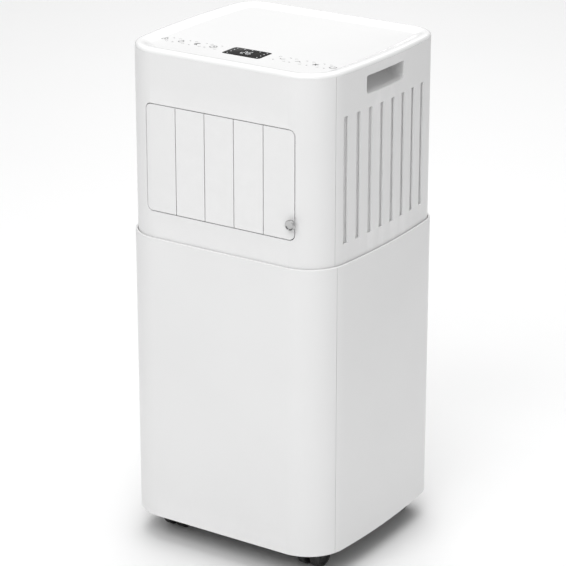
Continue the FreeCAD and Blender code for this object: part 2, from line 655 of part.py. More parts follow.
def end_vane_outline(sketch, left, right, low, high, radius, on_right):
    """A blade whose two outer corners follow the rounded corners of the outlet."""
    first = sketch.GeometryCount
    inner, outer = (value(left), value(right)) if on_right else (value(right), value(left))
    base, crown, turn = value(low), value(high), value(radius)
    sign = 1 if on_right else -1
    turned_in = outer - sign * turn
    quarter = math.pi / 2
    straight = [((inner, base), (turned_in, base)), ((outer, base + turn), (outer, crown - turn)),
                ((turned_in, crown), (inner, crown)), ((inner, crown), (inner, base))]
    lines = [sketch.addGeometry(Part.LineSegment(Vector(*a, 0), Vector(*b, 0)), False) for a, b in straight]
    if on_right:
        low_arc = arc(sketch, turned_in, base + turn, turn, -quarter, 0)
        high_arc = arc(sketch, turned_in, crown - turn, turn, 0, quarter)
        joints = ((lines[0], 2, low_arc, 1), (low_arc, 2, lines[1], 1),
                  (lines[1], 2, high_arc, 1), (high_arc, 2, lines[2], 1))
    else:
        low_arc = arc(sketch, turned_in, base + turn, turn, 2 * quarter, 3 * quarter)
        high_arc = arc(sketch, turned_in, crown - turn, turn, quarter, 2 * quarter)
        joints = ((lines[0], 2, low_arc, 2), (low_arc, 1, lines[1], 1),
                  (lines[1], 2, high_arc, 2), (high_arc, 1, lines[2], 1))
    for joint in joints:
        sketch.addConstraint(Sketcher.Constraint("Tangent", *joint))
    sketch.addConstraint(Sketcher.Constraint("Coincident", lines[2], 2, lines[3], 1))
    sketch.addConstraint(Sketcher.Constraint("Coincident", lines[3], 2, first, 1))
    for line, kind in zip(lines, ("Horizontal", "Vertical", "Horizontal", "Vertical")):
        sketch.addConstraint(Sketcher.Constraint(kind, line))
    fix_radius(sketch, low_arc, radius)
    fix_radius(sketch, high_arc, radius)
    fix(sketch, "DistanceX", lines[0], 1, left if on_right else right)
    fix(sketch, "DistanceY", lines[0], 1, low)
    fix(sketch, "DistanceX", lines[1], 1, right if on_right else left)
    fix(sketch, "DistanceY", lines[2], 2, high)


def vane_knob():
    """The small bright knob at the edge of the right-hand vane: a stem and a slightly hollow button."""
    far = "knob_reach"
    profile = [("0", "-knob_root"), ("knob_stem", "-knob_root"), ("knob_stem", f"{far} - knob_thick"),
               ("knob_radius - knob_round", f"{far} - knob_thick"),
               ("knob_radius", f"{far} - knob_thick + knob_round"), ("knob_radius", f"{far} - knob_round"),
               ("knob_radius - knob_round / 3", f"{far} - knob_round / 3"),
               ("knob_radius - knob_round", far), ("knob_radius / 2", f"{far} - knob_hollow"),
               ("0", f"{far} - knob_hollow")]
    node(turned("knob_turned", profile, "-Y", (KNOB_X, FACE, "knob_z")), "vane_knob")


def vane_link_bar():
    """The bar that makes all five vanes turn together. Only the right-hand crank pin is a close fit."""
    row = f"{AXIS_Y} + crank_length"
    ends = (LINK_LOW, f"{LINK_LOW} + layer")
    reach = (f"{vane_middle(1)} - crank_width / 2", f"{vane_middle(VANES)} + crank_width / 2")
    bar = box("link_strip", reach, (f"{row} - crank_width / 2", f"{row} + crank_width / 2"), ends)
    holes = []
    for number in range(1, VANES + 1):
        clearance = "pin_fit" if number == VANES else "link_fit"
        holes.append(rod(f"link_hole_{number}", f"crank_pin + {clearance}", "Z", (vane_middle(number), row),
                         (f"{LINK_LOW} - layer", f"{LINK_LOW} + layer * 2")))
    node(cut("link_made", bar, *holes), "vane_link_bar")


def outlet_frame():
    """The short duct behind the front wall. Its top and bottom carry the vane pins; bars guard its back."""
    front = f"{FACE} + wall + lid_fit"
    rear = f"{FACE} + frame_depth"
    low, high = "outlet_low - layer_gap", "outlet_high + layer_gap"
    outside = box("frame_outside", ("-frame_half", "frame_half"), (front, rear),
                  (f"{low} - layer", f"{high} + layer"))
    inside = box("frame_inside", ("cup_wall - frame_half", "frame_half - cup_wall"),
                 (f"{front} - wall", f"{rear} + wall"), (low, high))
    holes = [rod(f"frame_hole_{number}", "pin_radius + pin_fit", "Z", (vane_middle(number), AXIS_Y),
                 (f"{low} - layer * 2", f"{high} + layer * 2"))
             for number in range(1, VANES + 1)]
    shell = cut("frame_shell", outside, inside, *holes)
    bars = []
    for number in range(1, 6):
        level = f"outlet_low + guard_pitch * {number}"
        bars.append(box(f"guard_bar_{number}", ("-frame_half + cup_wall / 2", "frame_half - cup_wall / 2"),
                        (f"{rear} - guard_size", rear), (level, f"{level} + guard_size")))
    whole = fuse("frame_whole", shell, *bars)
    fitted = inside_case("frame_made", whole, "upper_inset + wall + lid_fit", "split", "lid_base")
    node(fitted, "outlet_frame")


# ---- handles and side filters ----------------------------------------------------------------------------

def handle_cup(side, sign):
    """The finger cup behind a carry opening: flat above, with a floor that scoops out to the lower lip."""
    body = new_body(f"handle_cup_{side}")
    level = "-(handle_front + handle_rear) / 2"
    back = "cup_mouth - cup_depth"
    outer = sketch_on(body, "XZ_Plane", f"cup_outer_{side}", level)
    polygon(outer, mirrored(sign, [
        (f"{back} - cup_wall", "handle_high + cup_wall"), ("cup_mouth", "handle_high + cup_wall"),
        ("cup_mouth", "handle_low - cup_wall"), ("cup_mouth - cup_turn", "handle_low - cup_wall"),
        (f"{back} - cup_wall", "cup_knee - cup_wall")]))
    pad(body, outer, "handle_rear - handle_front + cup_wall * 2", both_ways=True)
    inner = sketch_on(body, "XZ_Plane", f"cup_inner_{side}", level)
    polygon(inner, mirrored(sign, [
        (back, "handle_high"), ("cup_mouth + wall", "handle_high"),
        ("cup_mouth + wall", "handle_low"), ("cup_mouth - cup_turn / 2", "handle_low + cup_wall / 2"),
        (f"{back} + cup_turn / 2", "cup_knee - cup_wall * 2"), (back, "cup_knee")]))
    pocket(body, inner, "handle_rear - handle_front", both_ways=True)


def mirrored(sign, points):
    """Points as they are for the right-hand side, or reflected to the left."""
    return points if sign > 0 else [(f"-({x})", y) for x, y in points]


def side_filter(side, sign):
    """A curved mesh panel close behind the slots."""
    body = new_body(f"side_filter_{side}")
    case_pad(body, f"filter_sheet_{side}", "upper_inset + wall + filter_gap", "slot_low - filter_margin",
             "slot_high + filter_margin", "filter_thick")
    away = ("-case_width", "0") if sign > 0 else ("0", "case_width")
    above = "top"
    keep(body, f"filter_side_{side}", away, ("-case_depth", "case_depth"), above)
    keep(body, f"filter_front_{side}", ("-case_width", "case_width"), ("-case_depth", "-filter_half"), above)
    keep(body, f"filter_rear_{side}", ("-case_width", "case_width"), ("filter_half", "case_depth"), above)


# ---- heat exchangers -------------------------------------------------------------------------------------

def coil(label, along, ends, faces, levels, foot):
    """A finned coil: two end plates, a pack of fins and rows of tube, between ends along X or Y."""
    low, high = levels
    pieces = []

    def slab(name, near, far, base, crown):
        spans = ((near, far), faces) if along == "X" else (faces, (near, far))
        return box(f"{label}_{name}", spans[0], spans[1], (base, crown))

    pieces.append(slab("end_near", ends[0], f"{ends[0]} + end_plate", foot, high))
    pieces.append(slab("end_far", f"{ends[1]} - end_plate", ends[1], foot, high))
    for fin in range(SIZES["fin_count"]):
        near = f"{ends[0]} + end_plate + {fin} * (({ends[1]}) - ({ends[0]})) / fin_count"
        pieces.append(slab(f"fin_{fin}", near, f"{near} + fin_thick", low, high))
    for row in range(SIZES["tube_rows"]):
        level = f"{low} + (({high}) - ({low})) * {row + 0.5} / tube_rows"
        for column, share in enumerate((0.28, 0.72)):
            across = f"{faces[0]} + (({faces[1]}) - ({faces[0]})) * {share}"
            centre = (across, level)
            pieces.append(rod(f"{label}_tube_{row}_{column}", "tube_radius", along, centre,
                              (ends[0], ends[1])))
    node(fuse(label + "_made", *pieces), label)


def refrigerant_pipes():
    top_of = "compressor_high"
    tube_line = tube("discharge_pipe", [
        ("compressor_x", "compressor_y", f"{top_of} + stub"),
        ("compressor_x", "compressor_y", "discharge_level"),
        ("discharge_side", "compressor_y", "discharge_level"),
        ("discharge_side", "pipe_row", "discharge_level"),
        ("discharge_side", "pipe_row", "condenser_high - discharge_level + condenser_high - stub"),
        ("-condenser_half - stub", "pipe_row", "condenser_high - discharge_level + condenser_high - stub"),
    ], "discharge_radius", "discharge_radius * 1.6")
    node(tube_line, "discharge_tube")
    rising = tube("liquid_pipe", [
        ("condenser_half + stub", "pipe_row", "condenser_low + dome"),
        ("liquid_side", "pipe_row", "condenser_low + dome"),
        ("liquid_side", "pipe_row", "liquid_level"),
        ("liquid_side", "coil_half + stub", "liquid_level"),
    ], "liquid_radius", "liquid_radius * 2.5")
    across = tube("coil_link_pipe", [
        ("-(coil_inner + coil_outer) / 2", "coil_half + stub", "link_level"),
        ("-(coil_inner + coil_outer) / 2", "link_row", "link_level"),
        ("(coil_inner + coil_outer) / 2", "link_row", "link_level"),
        ("(coil_inner + coil_outer) / 2", "coil_half + stub", "link_level"),
    ], "liquid_radius", "liquid_radius * 2.5")
    node(group("liquid_pipes", rising, across), "liquid_tubes")
    suction = tube("suction_pipe", [
        ("-liquid_side", "-coil_half - stub", "liquid_level"),
        ("-liquid_side", "suction_row", "liquid_level"),
        ("-liquid_side", "suction_row", "suction_level"),
        ("accumulator_x", "suction_row", "suction_level"),
        ("accumulator_x", "compressor_y", "suction_level"),
        ("accumulator_x", "compressor_y", "accumulator_high + stub"),
    ], "suction_radius", "suction_radius * 1.6")
    node(suction, "suction_tube")


# ---- air movers ------------------------------------------------------------------------------------------

def fan_wheel(label, radius, inner, ends, plate, axis, centre):
    """A squirrel-cage wheel: a drive plate, leaning blades, an end ring at each open end and its shaft."""
    body = new_body(label)
    low, high, shaft_low, shaft_high = ends
    disc = sketch_on(body, "XY_Plane", label + "_plate", plate)
    circle(disc, ("0", "0"), radius)
    pad(body, disc, "fan_plate")
    shaft = sketch_on(body, "XY_Plane", label + "_shaft", shaft_low)
    circle(shaft, ("0", "0"), "shaft_radius")
    pad(body, shaft, span(shaft_low, shaft_high))
    for name, base in (("low", low), ("high", f"{high} - fan_plate")):
        ring = sketch_on(body, "XY_Plane", f"{label}_{name}_ring", base)
        circle(ring, ("0", "0"), radius)
        circle(ring, ("0", "0"), inner)
        pad(body, ring, "fan_plate")
    blade = sketch_on(body, "XY_Plane", label + "_blade", low)
    polygon(blade, [(f"{inner} + blade_thick", "0"), (f"{radius} - blade_thick", "blade_lean"),
                    (f"{radius} - blade_thick", "blade_lean + blade_thick"),
                    (f"{inner} + blade_thick", "blade_thick")])
    first_blade = pad(body, blade, span(low, high))
    ring_of(body, first_blade, blade, "fan_blades")
    place(body, centre, TURN[axis])
    return body


def upper_fan():
    """A double-inlet fan across the upper part: it draws through both side coils and blows forwards."""
    centre = ("0", "upper_fan_y", "upper_fan_z")
    fan_wheel("upper_fan_wheel", "upper_fan_radius", "upper_fan_inner",
              ("-upper_fan_half", "upper_fan_half", "-hub_radius", "upper_motor_near + hub_radius"),
              "-fan_plate / 2", "X", centre)
    middle = ("upper_fan_y", "upper_fan_z")
    drum = rod("upper_motor_drum", "upper_motor_radius", "X", middle, ("upper_motor_near", "upper_motor_far"))
    bore = rod("upper_motor_bore", "shaft_radius + shaft_fit", "X", middle,
               ("upper_motor_near - stub", "upper_motor_near + hub_radius + stub"))
    arm = box("upper_motor_arm", ("upper_motor_far - duct_wall", "upper_shell_half - duct_wall * 1.5"),
              ("upper_fan_y - hub_radius", "upper_fan_y + hub_radius"),
              ("upper_fan_z - hub_radius * 2", "upper_fan_z + hub_radius * 2"))
    strap = box("upper_motor_strap",
                ("upper_shell_half - duct_wall * 3.5", "upper_shell_half - duct_wall * 1.5"),
                ("upper_fan_y - hub_radius", "upper_fan_y + hub_radius"),
                ("upper_fan_z - upper_fan_radius", "upper_fan_z + upper_fan_radius"))
    node(cut("upper_motor_made", fuse("upper_motor_solid", drum, arm, strap), bore), "upper_fan_motor")
    upper_volute(middle)


def upper_volute(middle):
    """The scroll round the upper fan, open at both sides and at the front."""
    half = "upper_shell_half"
    mouth = f"({FACE} + frame_depth + layer_gap)"
    drum = rod("upper_scroll_drum", "upper_shell_radius", "X", middle, (f"-{half}", half))
    spout = box("upper_scroll_spout", (f"-{half}", half), (mouth, "upper_fan_y"),
                ("outlet_low + duct_wall", "upper_fan_z + upper_shell_radius - dome"))
    hollow = rod("upper_scroll_hollow", "upper_shell_radius - duct_wall", "X", middle,
                 (f"duct_wall - {half}", f"{half} - duct_wall"))
    throat = box("upper_scroll_throat", (f"duct_wall - {half}", f"{half} - duct_wall"),
                 (f"{mouth} - duct_wall", "upper_fan_y"),
                 ("outlet_low + duct_wall * 2", "upper_fan_z + upper_shell_radius - dome - duct_wall"))
    inlets = rod("upper_scroll_inlets", "upper_inlet", "X", middle,
                 (f"-{half} - duct_wall", f"{half} + duct_wall"))
    outside = fuse("upper_scroll_outside", drum, spout)
    node(cut("upper_scroll_made", outside, hollow, throat, inlets), "upper_volute")


def lower_fan():
    """A single-inlet fan on an upright shaft: it draws up through the condenser and blows out at the back."""
    fan_wheel("lower_fan_wheel", "lower_fan_radius", "lower_fan_inner",
              ("lower_fan_low", "lower_fan_high", "lower_fan_high - hub_radius * 3",
               "lower_motor_low + hub_radius"),
              "lower_fan_high - fan_plate", "Z", ("lower_fan_x", "lower_fan_y", "0"))
    middle = ("lower_fan_x", "lower_fan_y")
    drum = rod("lower_motor_drum", "lower_motor_radius", "Z", middle, ("lower_motor_low", "lower_motor_high"))
    bore = rod("lower_motor_bore", "shaft_radius + shaft_fit", "Z", middle,
               ("lower_motor_low - stub", "lower_motor_low + hub_radius + stub"))
    node(cut("lower_motor_made", drum, bore), "lower_fan_motor")
    lower_volute(middle)


def lower_volute(middle):
    """The scroll round the lower fan, with its inlet below, and a square plenum in front of the collar."""
    low, high = "lower_shell_low", "lower_shell_high"
    right = "lower_shell_x + lower_shell_radius"
    centre = ("lower_shell_x", "lower_fan_y")
    drum = rod("lower_scroll_drum", "lower_shell_radius", "Z", centre, (low, high))
    spout = box("lower_scroll_spout", ("duct_left", right), ("lower_fan_y", "plenum_rear - duct_wall"),
                (low, high))
    plenum = box("lower_scroll_plenum", ("collar_x - plenum_half", "collar_x + plenum_half"),
                 ("plenum_front", "plenum_rear"), ("collar_z - plenum_half", "collar_z + plenum_half"))
    within = (f"{low} + duct_wall", f"{high} - duct_wall")
    hollow = rod("lower_scroll_hollow", "lower_shell_radius - duct_wall", "Z", centre, within)
    throat = box("lower_scroll_throat", ("duct_left + duct_wall", f"{right} - duct_wall"),
                 ("lower_fan_y", "plenum_front + duct_wall * 2"), within)
    room = box("lower_scroll_room",
               ("collar_x - plenum_half + duct_wall", "collar_x + plenum_half - duct_wall"),
               ("plenum_front + duct_wall", "plenum_rear + duct_wall"),
               ("collar_z - plenum_half + duct_wall", "collar_z + plenum_half - duct_wall"))
    inlet = rod("lower_scroll_inlet", "lower_inlet", "Z", middle,
                (f"{low} - duct_wall", f"{low} + duct_wall * 2"))
    shaft_hole = rod("lower_scroll_shaft_hole", "hub_radius", "Z", middle,
                     (f"{high} - duct_wall * 2", f"{high} + duct_wall"))
    outside = fuse("lower_scroll_outside", drum, spout, plenum)
    node(cut("lower_scroll_made", outside, hollow, throat, room, inlet, shaft_hole), "lower_volute")


# ---- partition, base pan and condensate ------------------------------------------------------------------

def partition_tray():
    """The drip tray between the two parts. The upper casing's lower edge stands on its rim."""
    body = new_body("partition_tray")
    case_pad(body, "tray_plate", "tray_inset", "tray_low", "tray_low + tray_thick")
    case_pad(body, "tray_rim_ring", "tray_inset", "tray_low + tray_thick", "tray_low + tray_rim", "tray_wall")
    holes = sketch_on(body, "XY_Plane", "tray_holes", "tray_low + tray_thick")
    circle(holes, ("liquid_side", "pipe_row"), "liquid_radius * 2")
    circle(holes, ("-liquid_side", "suction_row"), "suction_radius * 1.6")
    pocket(body, holes)


def base_pan():
    """The pan that carries the machine, with a socket over each caster and the float's guide post."""
    body = new_body("base_pan")
    floor = "pan_low + pan_thick"
    case_pad(body, "pan_plate", "tray_inset", "pan_low", floor)
    case_pad(body, "pan_rim_ring", "tray_inset", floor, "pan_rim", "tray_wall")
    bosses = sketch_on(body, "XY_Plane", "pan_sockets", "pan_low")
    for x, y in caster_places().values():
        circle(bosses, (x, y), "socket_radius")
    pad(body, bosses, "socket_high - pan_low")
    post = sketch_on(body, "XY_Plane", "float_post", "pan_low")
    circle(post, ("float_x", "float_y"), "float_stem")
    pad(body, post, "float_stem_high - pan_low")
    stems = sketch_on(body, "XY_Plane", "pan_stem_holes", "pan_low")
    for x, y in caster_places().values():
        circle(stems, (x, y), "stem_radius + stem_fit")
    pocket(body, stems, "stem_length + cap_gap", backwards=True)
    holes = sketch_on(body, "XZ_Plane", "pan_rear_holes")
    circle(holes, ("drain_x", "drain_z"), "drain_bore + drain_wall + panel_gap")
    circle(holes, ("gland_x", "drain_z"), "gland_radius + panel_gap")
    pocket(body, holes)


def float_ring():
    middle = ("float_x", "float_y")
    outside = rod("float_outside", "float_radius", "Z", middle, ("float_low", "float_high"))
    inside = rod("float_inside", "float_stem + plug_fit", "Z", middle,
                 ("float_low - stub", "float_high + stub"))
    node(cut("float_made", outside, inside), "float")


def splash_unit():
    """The wheel that flings condensate on to the hot coil, and its motor on a foot."""
    wheel = new_body("splash_wheel")
    disc = sketch_on(wheel, "XY_Plane", "splash_disc")
    circle(disc, ("0", "0"), "splash_radius - splash_motor_radius / 4")
    pad(wheel, disc, "fan_plate")
    shaft = sketch_on(wheel, "XY_Plane", "splash_shaft", "-hub_radius * 1.4")
    circle(shaft, ("0", "0"), "shaft_radius")
    pad(wheel, shaft, "hub_radius * 1.6")
    vane_plan = sketch_on(wheel, "XY_Plane", "splash_vane")
    rectangle(vane_plan, ("splash_radius / 2", "splash_radius"), ("-blade_thick / 2", "blade_thick / 2"))
    first = pad(wheel, vane_plan, "splash_rear - splash_front")
    ring_of(wheel, first, vane_plan, "splash_vanes")
    place(wheel, ("splash_x", "splash_front", "splash_z"), TURN["Y"])
    middle = ("splash_x", "splash_z")
    drum = rod("splash_motor_drum", "splash_motor_radius", "Y", middle,
               ("splash_motor_front", "splash_motor_rear"))
    foot = box("splash_motor_foot", ("splash_x - hub_radius", "splash_x + hub_radius"),
               ("splash_motor_front + hub_radius / 2", "splash_motor_rear - hub_radius / 2"),
               ("pan_low + pan_thick", "splash_z"))
    bore = rod("splash_motor_bore", "shaft_radius + shaft_fit", "Y", middle,
               ("splash_motor_rear - hub_radius", "splash_motor_rear + stub"))
    node(cut("splash_motor_made", fuse("splash_motor_solid", drum, foot), bore), "splash_motor")


def drain():
    """The drain socket low in the back, and the rubber plug that closes it."""
    middle = ("drain_x", "drain_z")
    pipe = rod("drain_pipe", "drain_bore + drain_wall", "Y", middle, ("drain_inner_end", "drain_outer_end"))
    flange = rod("drain_flange_ring", "drain_flange", "Y", middle, ("case_depth / 2", "drain_outer_end"))
    bore = rod("drain_opening", "drain_bore", "Y", middle,
               ("drain_inner_end - stub", "drain_outer_end + stub"))
    node(cut("drain_made", fuse("drain_solid", pipe, flange), bore), "drain_socket")
    shank = rod("plug_shank", "drain_bore - plug_fit", "Y", middle,
                ("drain_outer_end - plug_depth", "drain_outer_end"))
    head = rod("plug_cap", "plug_head", "Y", middle, ("drain_outer_end", "drain_outer_end + plug_pull"))
    node(fuse("plug_made", shank, head), "drain_plug")


# ---- compressor and electrics ----------------------------------------------------------------------------

FOOT_TURNS = (90, 210, 330)


def around_compressor(made, angle, height):
    """Turn a piece built on the X axis round the compressor's own axis."""
    return place(made, ("compressor_x", "compressor_y", height), Rotation(Vector(0, 0, 1), angle))


def compressor():
    low, high = "(compressor_low + foot_thick / 2)", "compressor_high"
    can = turned("compressor_can", [
        ("0", low), ("compressor_radius - dome", low), ("compressor_radius - dome / 4", f"{low} + dome / 2"),
        ("compressor_radius", f"{low} + dome"), ("compressor_radius", f"{high} - dome"),
        ("compressor_radius - dome / 4", f"{high} - dome / 2"), ("compressor_radius - dome", high),
        ("0", high)], "Z", ("compressor_x", "compressor_y", "0"))
    feet = []
    for angle in FOOT_TURNS:
        arm = doc.addObject("Part::Feature", f"compressor_arm_{angle}")
        thick = value("foot_thick")
        plate = Part.makeBox(value("foot_reach + foot_width / 2"), value("foot_width"), thick,
                             Vector(0, value("-foot_width / 2"), 0))
        hole = Part.makeCylinder(value("stud_radius + stud_fit"), thick, Vector(value("foot_reach"), 0, 0))
        arm.Shape = plate.cut(hole)
        feet.append(around_compressor(arm, angle, "compressor_low"))
    node(fuse("compressor_made", can, *feet), "compressor")


def compressor_mounting():
    """Rubber grommets on the pan, and a stud and nut through each foot."""
    floor = "pan_low + pan_thick"
    grommets, fasteners = [], []
    for angle in FOOT_TURNS:
        ring = doc.addObject("Part::Feature", f"grommet_{angle}")
        tall = value(f"compressor_low - ({floor})")
        at = Vector(value("foot_reach"), 0, 0)
        ring.Shape = Part.makeCylinder(value("grommet_radius"), tall, at).cut(
            Part.makeCylinder(value("stud_radius + stud_fit"), tall, at))
        grommets.append(around_compressor(ring, angle, floor))
        stud = doc.addObject("Part::Feature", f"stud_{angle}")
        length = value(f"compressor_low + foot_thick + nut_thick * 1.6 - ({floor})")
        corner = Vector(value("nut_across") / math.sqrt(3), 0, 0)
        turns = [Rotation(Vector(0, 0, 1), 60 * side) for side in range(7)]
        nut = Part.makePolygon([at + turn.multVec(corner) for turn in turns])
        head = Part.Face(nut).extrude(Vector(0, 0, value("nut_thick")))
        head.translate(Vector(0, 0, value(f"compressor_low + foot_thick - ({floor})")))
        stud.Shape = Part.makeCylinder(value("stud_radius"), length, at).fuse(head)
        fasteners.append(around_compressor(stud, angle, floor))
    node(group("grommets", *grommets), "compressor_grommets")
    node(group("fasteners", *fasteners), "compressor_fasteners")


def accumulator():
    low, high = "accumulator_low", "accumulator_high"
    profile = [("0", low), ("accumulator_radius - dome", low), ("accumulator_radius", f"{low} + dome"),
               ("accumulator_radius", f"{high} - dome"), ("accumulator_radius - dome", high), ("0", high)]
    node(turned("accumulator_can", profile, "Z", ("accumulator_x", "compressor_y", "0")), "accumulator")


def electrical_box():
    """A box on legs, open to the front, with its cover, the main board and the run capacitor."""
    low, high = "box_low", "box_high"
    outside = box("box_outside", ("box_left", "box_right"), ("box_front", "box_rear"), (low, high))
    inside = box("box_inside", ("box_left + box_wall", "box_right - box_wall"),
                 ("box_front - box_wall", "box_rear - box_wall"), (f"{low} + box_wall", f"{high} - box_wall"))
    shell = cut("box_shell", outside, inside)
    legs = []
    for name, xs in (("left", ("box_left", "box_left + hub_radius")),
                     ("right", ("box_right - hub_radius", "box_right"))):
        legs.append(box(f"box_leg_{name}", xs, ("box_rear - hub_radius", "box_rear"),
                        ("pan_low + pan_thick", f"{low} + box_wall")))
    node(fuse("box_made", shell, *legs), "electrical_box")
    cover = box("box_lid", ("box_left", "box_right"),
                ("box_front - box_wall - layer_gap", "box_front - layer_gap"), (low, high))
    node(cover, "electrical_box_cover")
    board_rear = "box_rear - box_wall * 2"
    board = box("main_board_plate", ("box_left + box_wall * 3", "box_right - box_wall * 3"),
                (f"{board_rear} - board_thick", board_rear), (f"{low} + hub_radius", f"{high} - hub_radius"))
    parts = []
    for row in (2, 6, 10):
        parts.append(box(f"main_board_part_{row}",
                         ("box_right - box_wall * 3 - hub_radius * 2", "box_right - box_wall * 4"),
                         (f"{board_rear} - board_thick - hub_radius * 1.4", board_rear),
                         (f"{low} + hub_radius * {row}", f"{low} + hub_radius * {row + 2}")))
    node(fuse("main_board_made", board, *parts), "main_board")
    node(rod("capacitor_can", "capacitor_radius", "Z", ("capacitor_x", "capacitor_y"),
             ("capacitor_low", "capacitor_high")), "run_capacitor")


# ---- back ------------------------------------------------------------------------------------------------

def screw_places():
    """Where the two rear panels are screwed through the casing's edge."""
    heights = ("grille_low + dome", "panel_split - dome", "panel_split + dome", "panel_top - dome")
    return [(f"{sign}screw_x", height) for sign in ("-", "") for height in heights]


def rear_panel(label, low, high):
    """A flat panel let into the back from inside, with a flange behind the edge of the opening."""
    body = new_body(label)
    outer_face = "-case_depth / 2"
    face = sketch_on(body, "XZ_Plane", label + "_face", outer_face)
    rectangle(face, ("-panel_half", "panel_half"), (low[0], high[0]))
    pad(body, face, "wall + panel_gap + lid_fit")
    back = sketch_on(body, "XZ_Plane", label + "_flange", f"{outer_face} + wall + lid_fit")
    rectangle(back, ("-panel_half - panel_flange", "panel_half + panel_flange"), (low[1], high[1]))
    pad(body, back, "panel_thick")
    return body


def condenser_grille():
    body = rear_panel("condenser_grille", ("grille_low", "grille_low - panel_flange"),
                      ("panel_split - panel_gap / 2", "panel_split - panel_gap / 2"))
    louvre = sketch_on(body, "XZ_Plane", "louvre")
    rectangle(louvre, ("-louvre_half", "louvre_half"), ("louvre_low", "louvre_low + louvre_high"))
    opening = pocket(body, louvre)
    line_of(body, opening, louvre, "louvre_pitch * (louvre_count - 1)", "louvre_count", "V_Axis")
    panel_screw_holes(body, "condenser_grille", (0, 1, 4, 5))


def exhaust_panel():
    body = rear_panel("exhaust_panel", ("panel_split + panel_gap / 2", "panel_split + panel_gap / 2"),
                      ("panel_top", "panel_top + panel_flange"))
    hole = sketch_on(body, "XZ_Plane", "collar_hole")
    circle(hole, ("collar_x", "collar_z"), "collar_bore + collar_wall + panel_gap")
    pocket(body, hole)
    panel_screw_holes(body, "exhaust_panel", (2, 3, 6, 7))


def panel_screw_holes(body, label, which):
    holes = sketch_on(body, "XZ_Plane", label + "_holes")
    for index in which:
        circle(holes, screw_places()[index], "screw_radius + screw_fit")
    pocket(body, holes)


def exhaust_collar():
    """The round collar that the exhaust hose pushes into."""
    bore, outer = "collar_bore", "collar_bore + collar_wall"
    near, far = "collar_inner_end", "collar_outer_end"
    seat = "case_depth / 2"
    profile = [(bore, near), (outer, near), (outer, seat), ("collar_flange", seat),
               ("collar_flange", f"{seat} + collar_flange_thick"), (outer, f"{seat} + collar_flange_thick"),
               (outer, far), (bore, far)]
    node(turned("collar_turned", profile, "Y", ("collar_x", "0", "collar_z")), "exhaust_collar")


def screws():
    """Pan-head screws: eight in the back, four under the control board."""
    made = []
    for i, place_of in enumerate(screw_places()):
        shank = rod(f"screw_shank_{i}", "screw_radius", "Y", place_of,
                    ("case_depth / 2 - screw_length", "case_depth / 2 + screw_head_thick / 2"))
        head = rod(f"screw_head_{i}", "screw_head", "Y", place_of,
                   ("case_depth / 2", "case_depth / 2 + screw_head_thick"))
        made.append(fuse(f"screw_{i}", shank, head))
    under = "(top - dish - board_drop - board_thick)"
    for i, place_of in enumerate(board_screw_places()):
        shank = rod(f"board_screw_shank_{i}", "screw_radius", "Z", place_of,
                    (f"{under} - screw_head_thick / 2", f"{under} + board_thick"))
        head = rod(f"board_screw_head_{i}", "screw_head", "Z", place_of,
                   (f"{under} - screw_head_thick", under))
        made.append(fuse(f"board_screw_{i}", shank, head))
    node(group("screw_set", *made), "screws")


def mains_gland():
    """The bush in the back that the mains lead passes through."""
    seat = "case_depth / 2"
    profile = [("gland_bore", "drain_inner_end"), ("gland_radius", "drain_inner_end"), ("gland_radius", seat),
               ("gland_flange", seat), ("gland_flange", f"{seat} + screw_head_thick"),
               ("gland_bore + drain_wall / 2", "gland_outer_end"), ("gland_bore", "gland_outer_end")]
    node(turned("gland_turned", profile, "Y", ("gland_x", "0", "drain_z")), "mains_gland")


# ---- casters ---------------------------------------------------------------------------------------------

def caster_places():
    """The swivel axis of each caster."""
    return {
        "front_left": ("-caster_x", "-caster_y"), "front_right": ("caster_x", "-caster_y"),
        "rear_left": ("-caster_x", "caster_y"), "rear_right": ("caster_x", "caster_y"),
    }


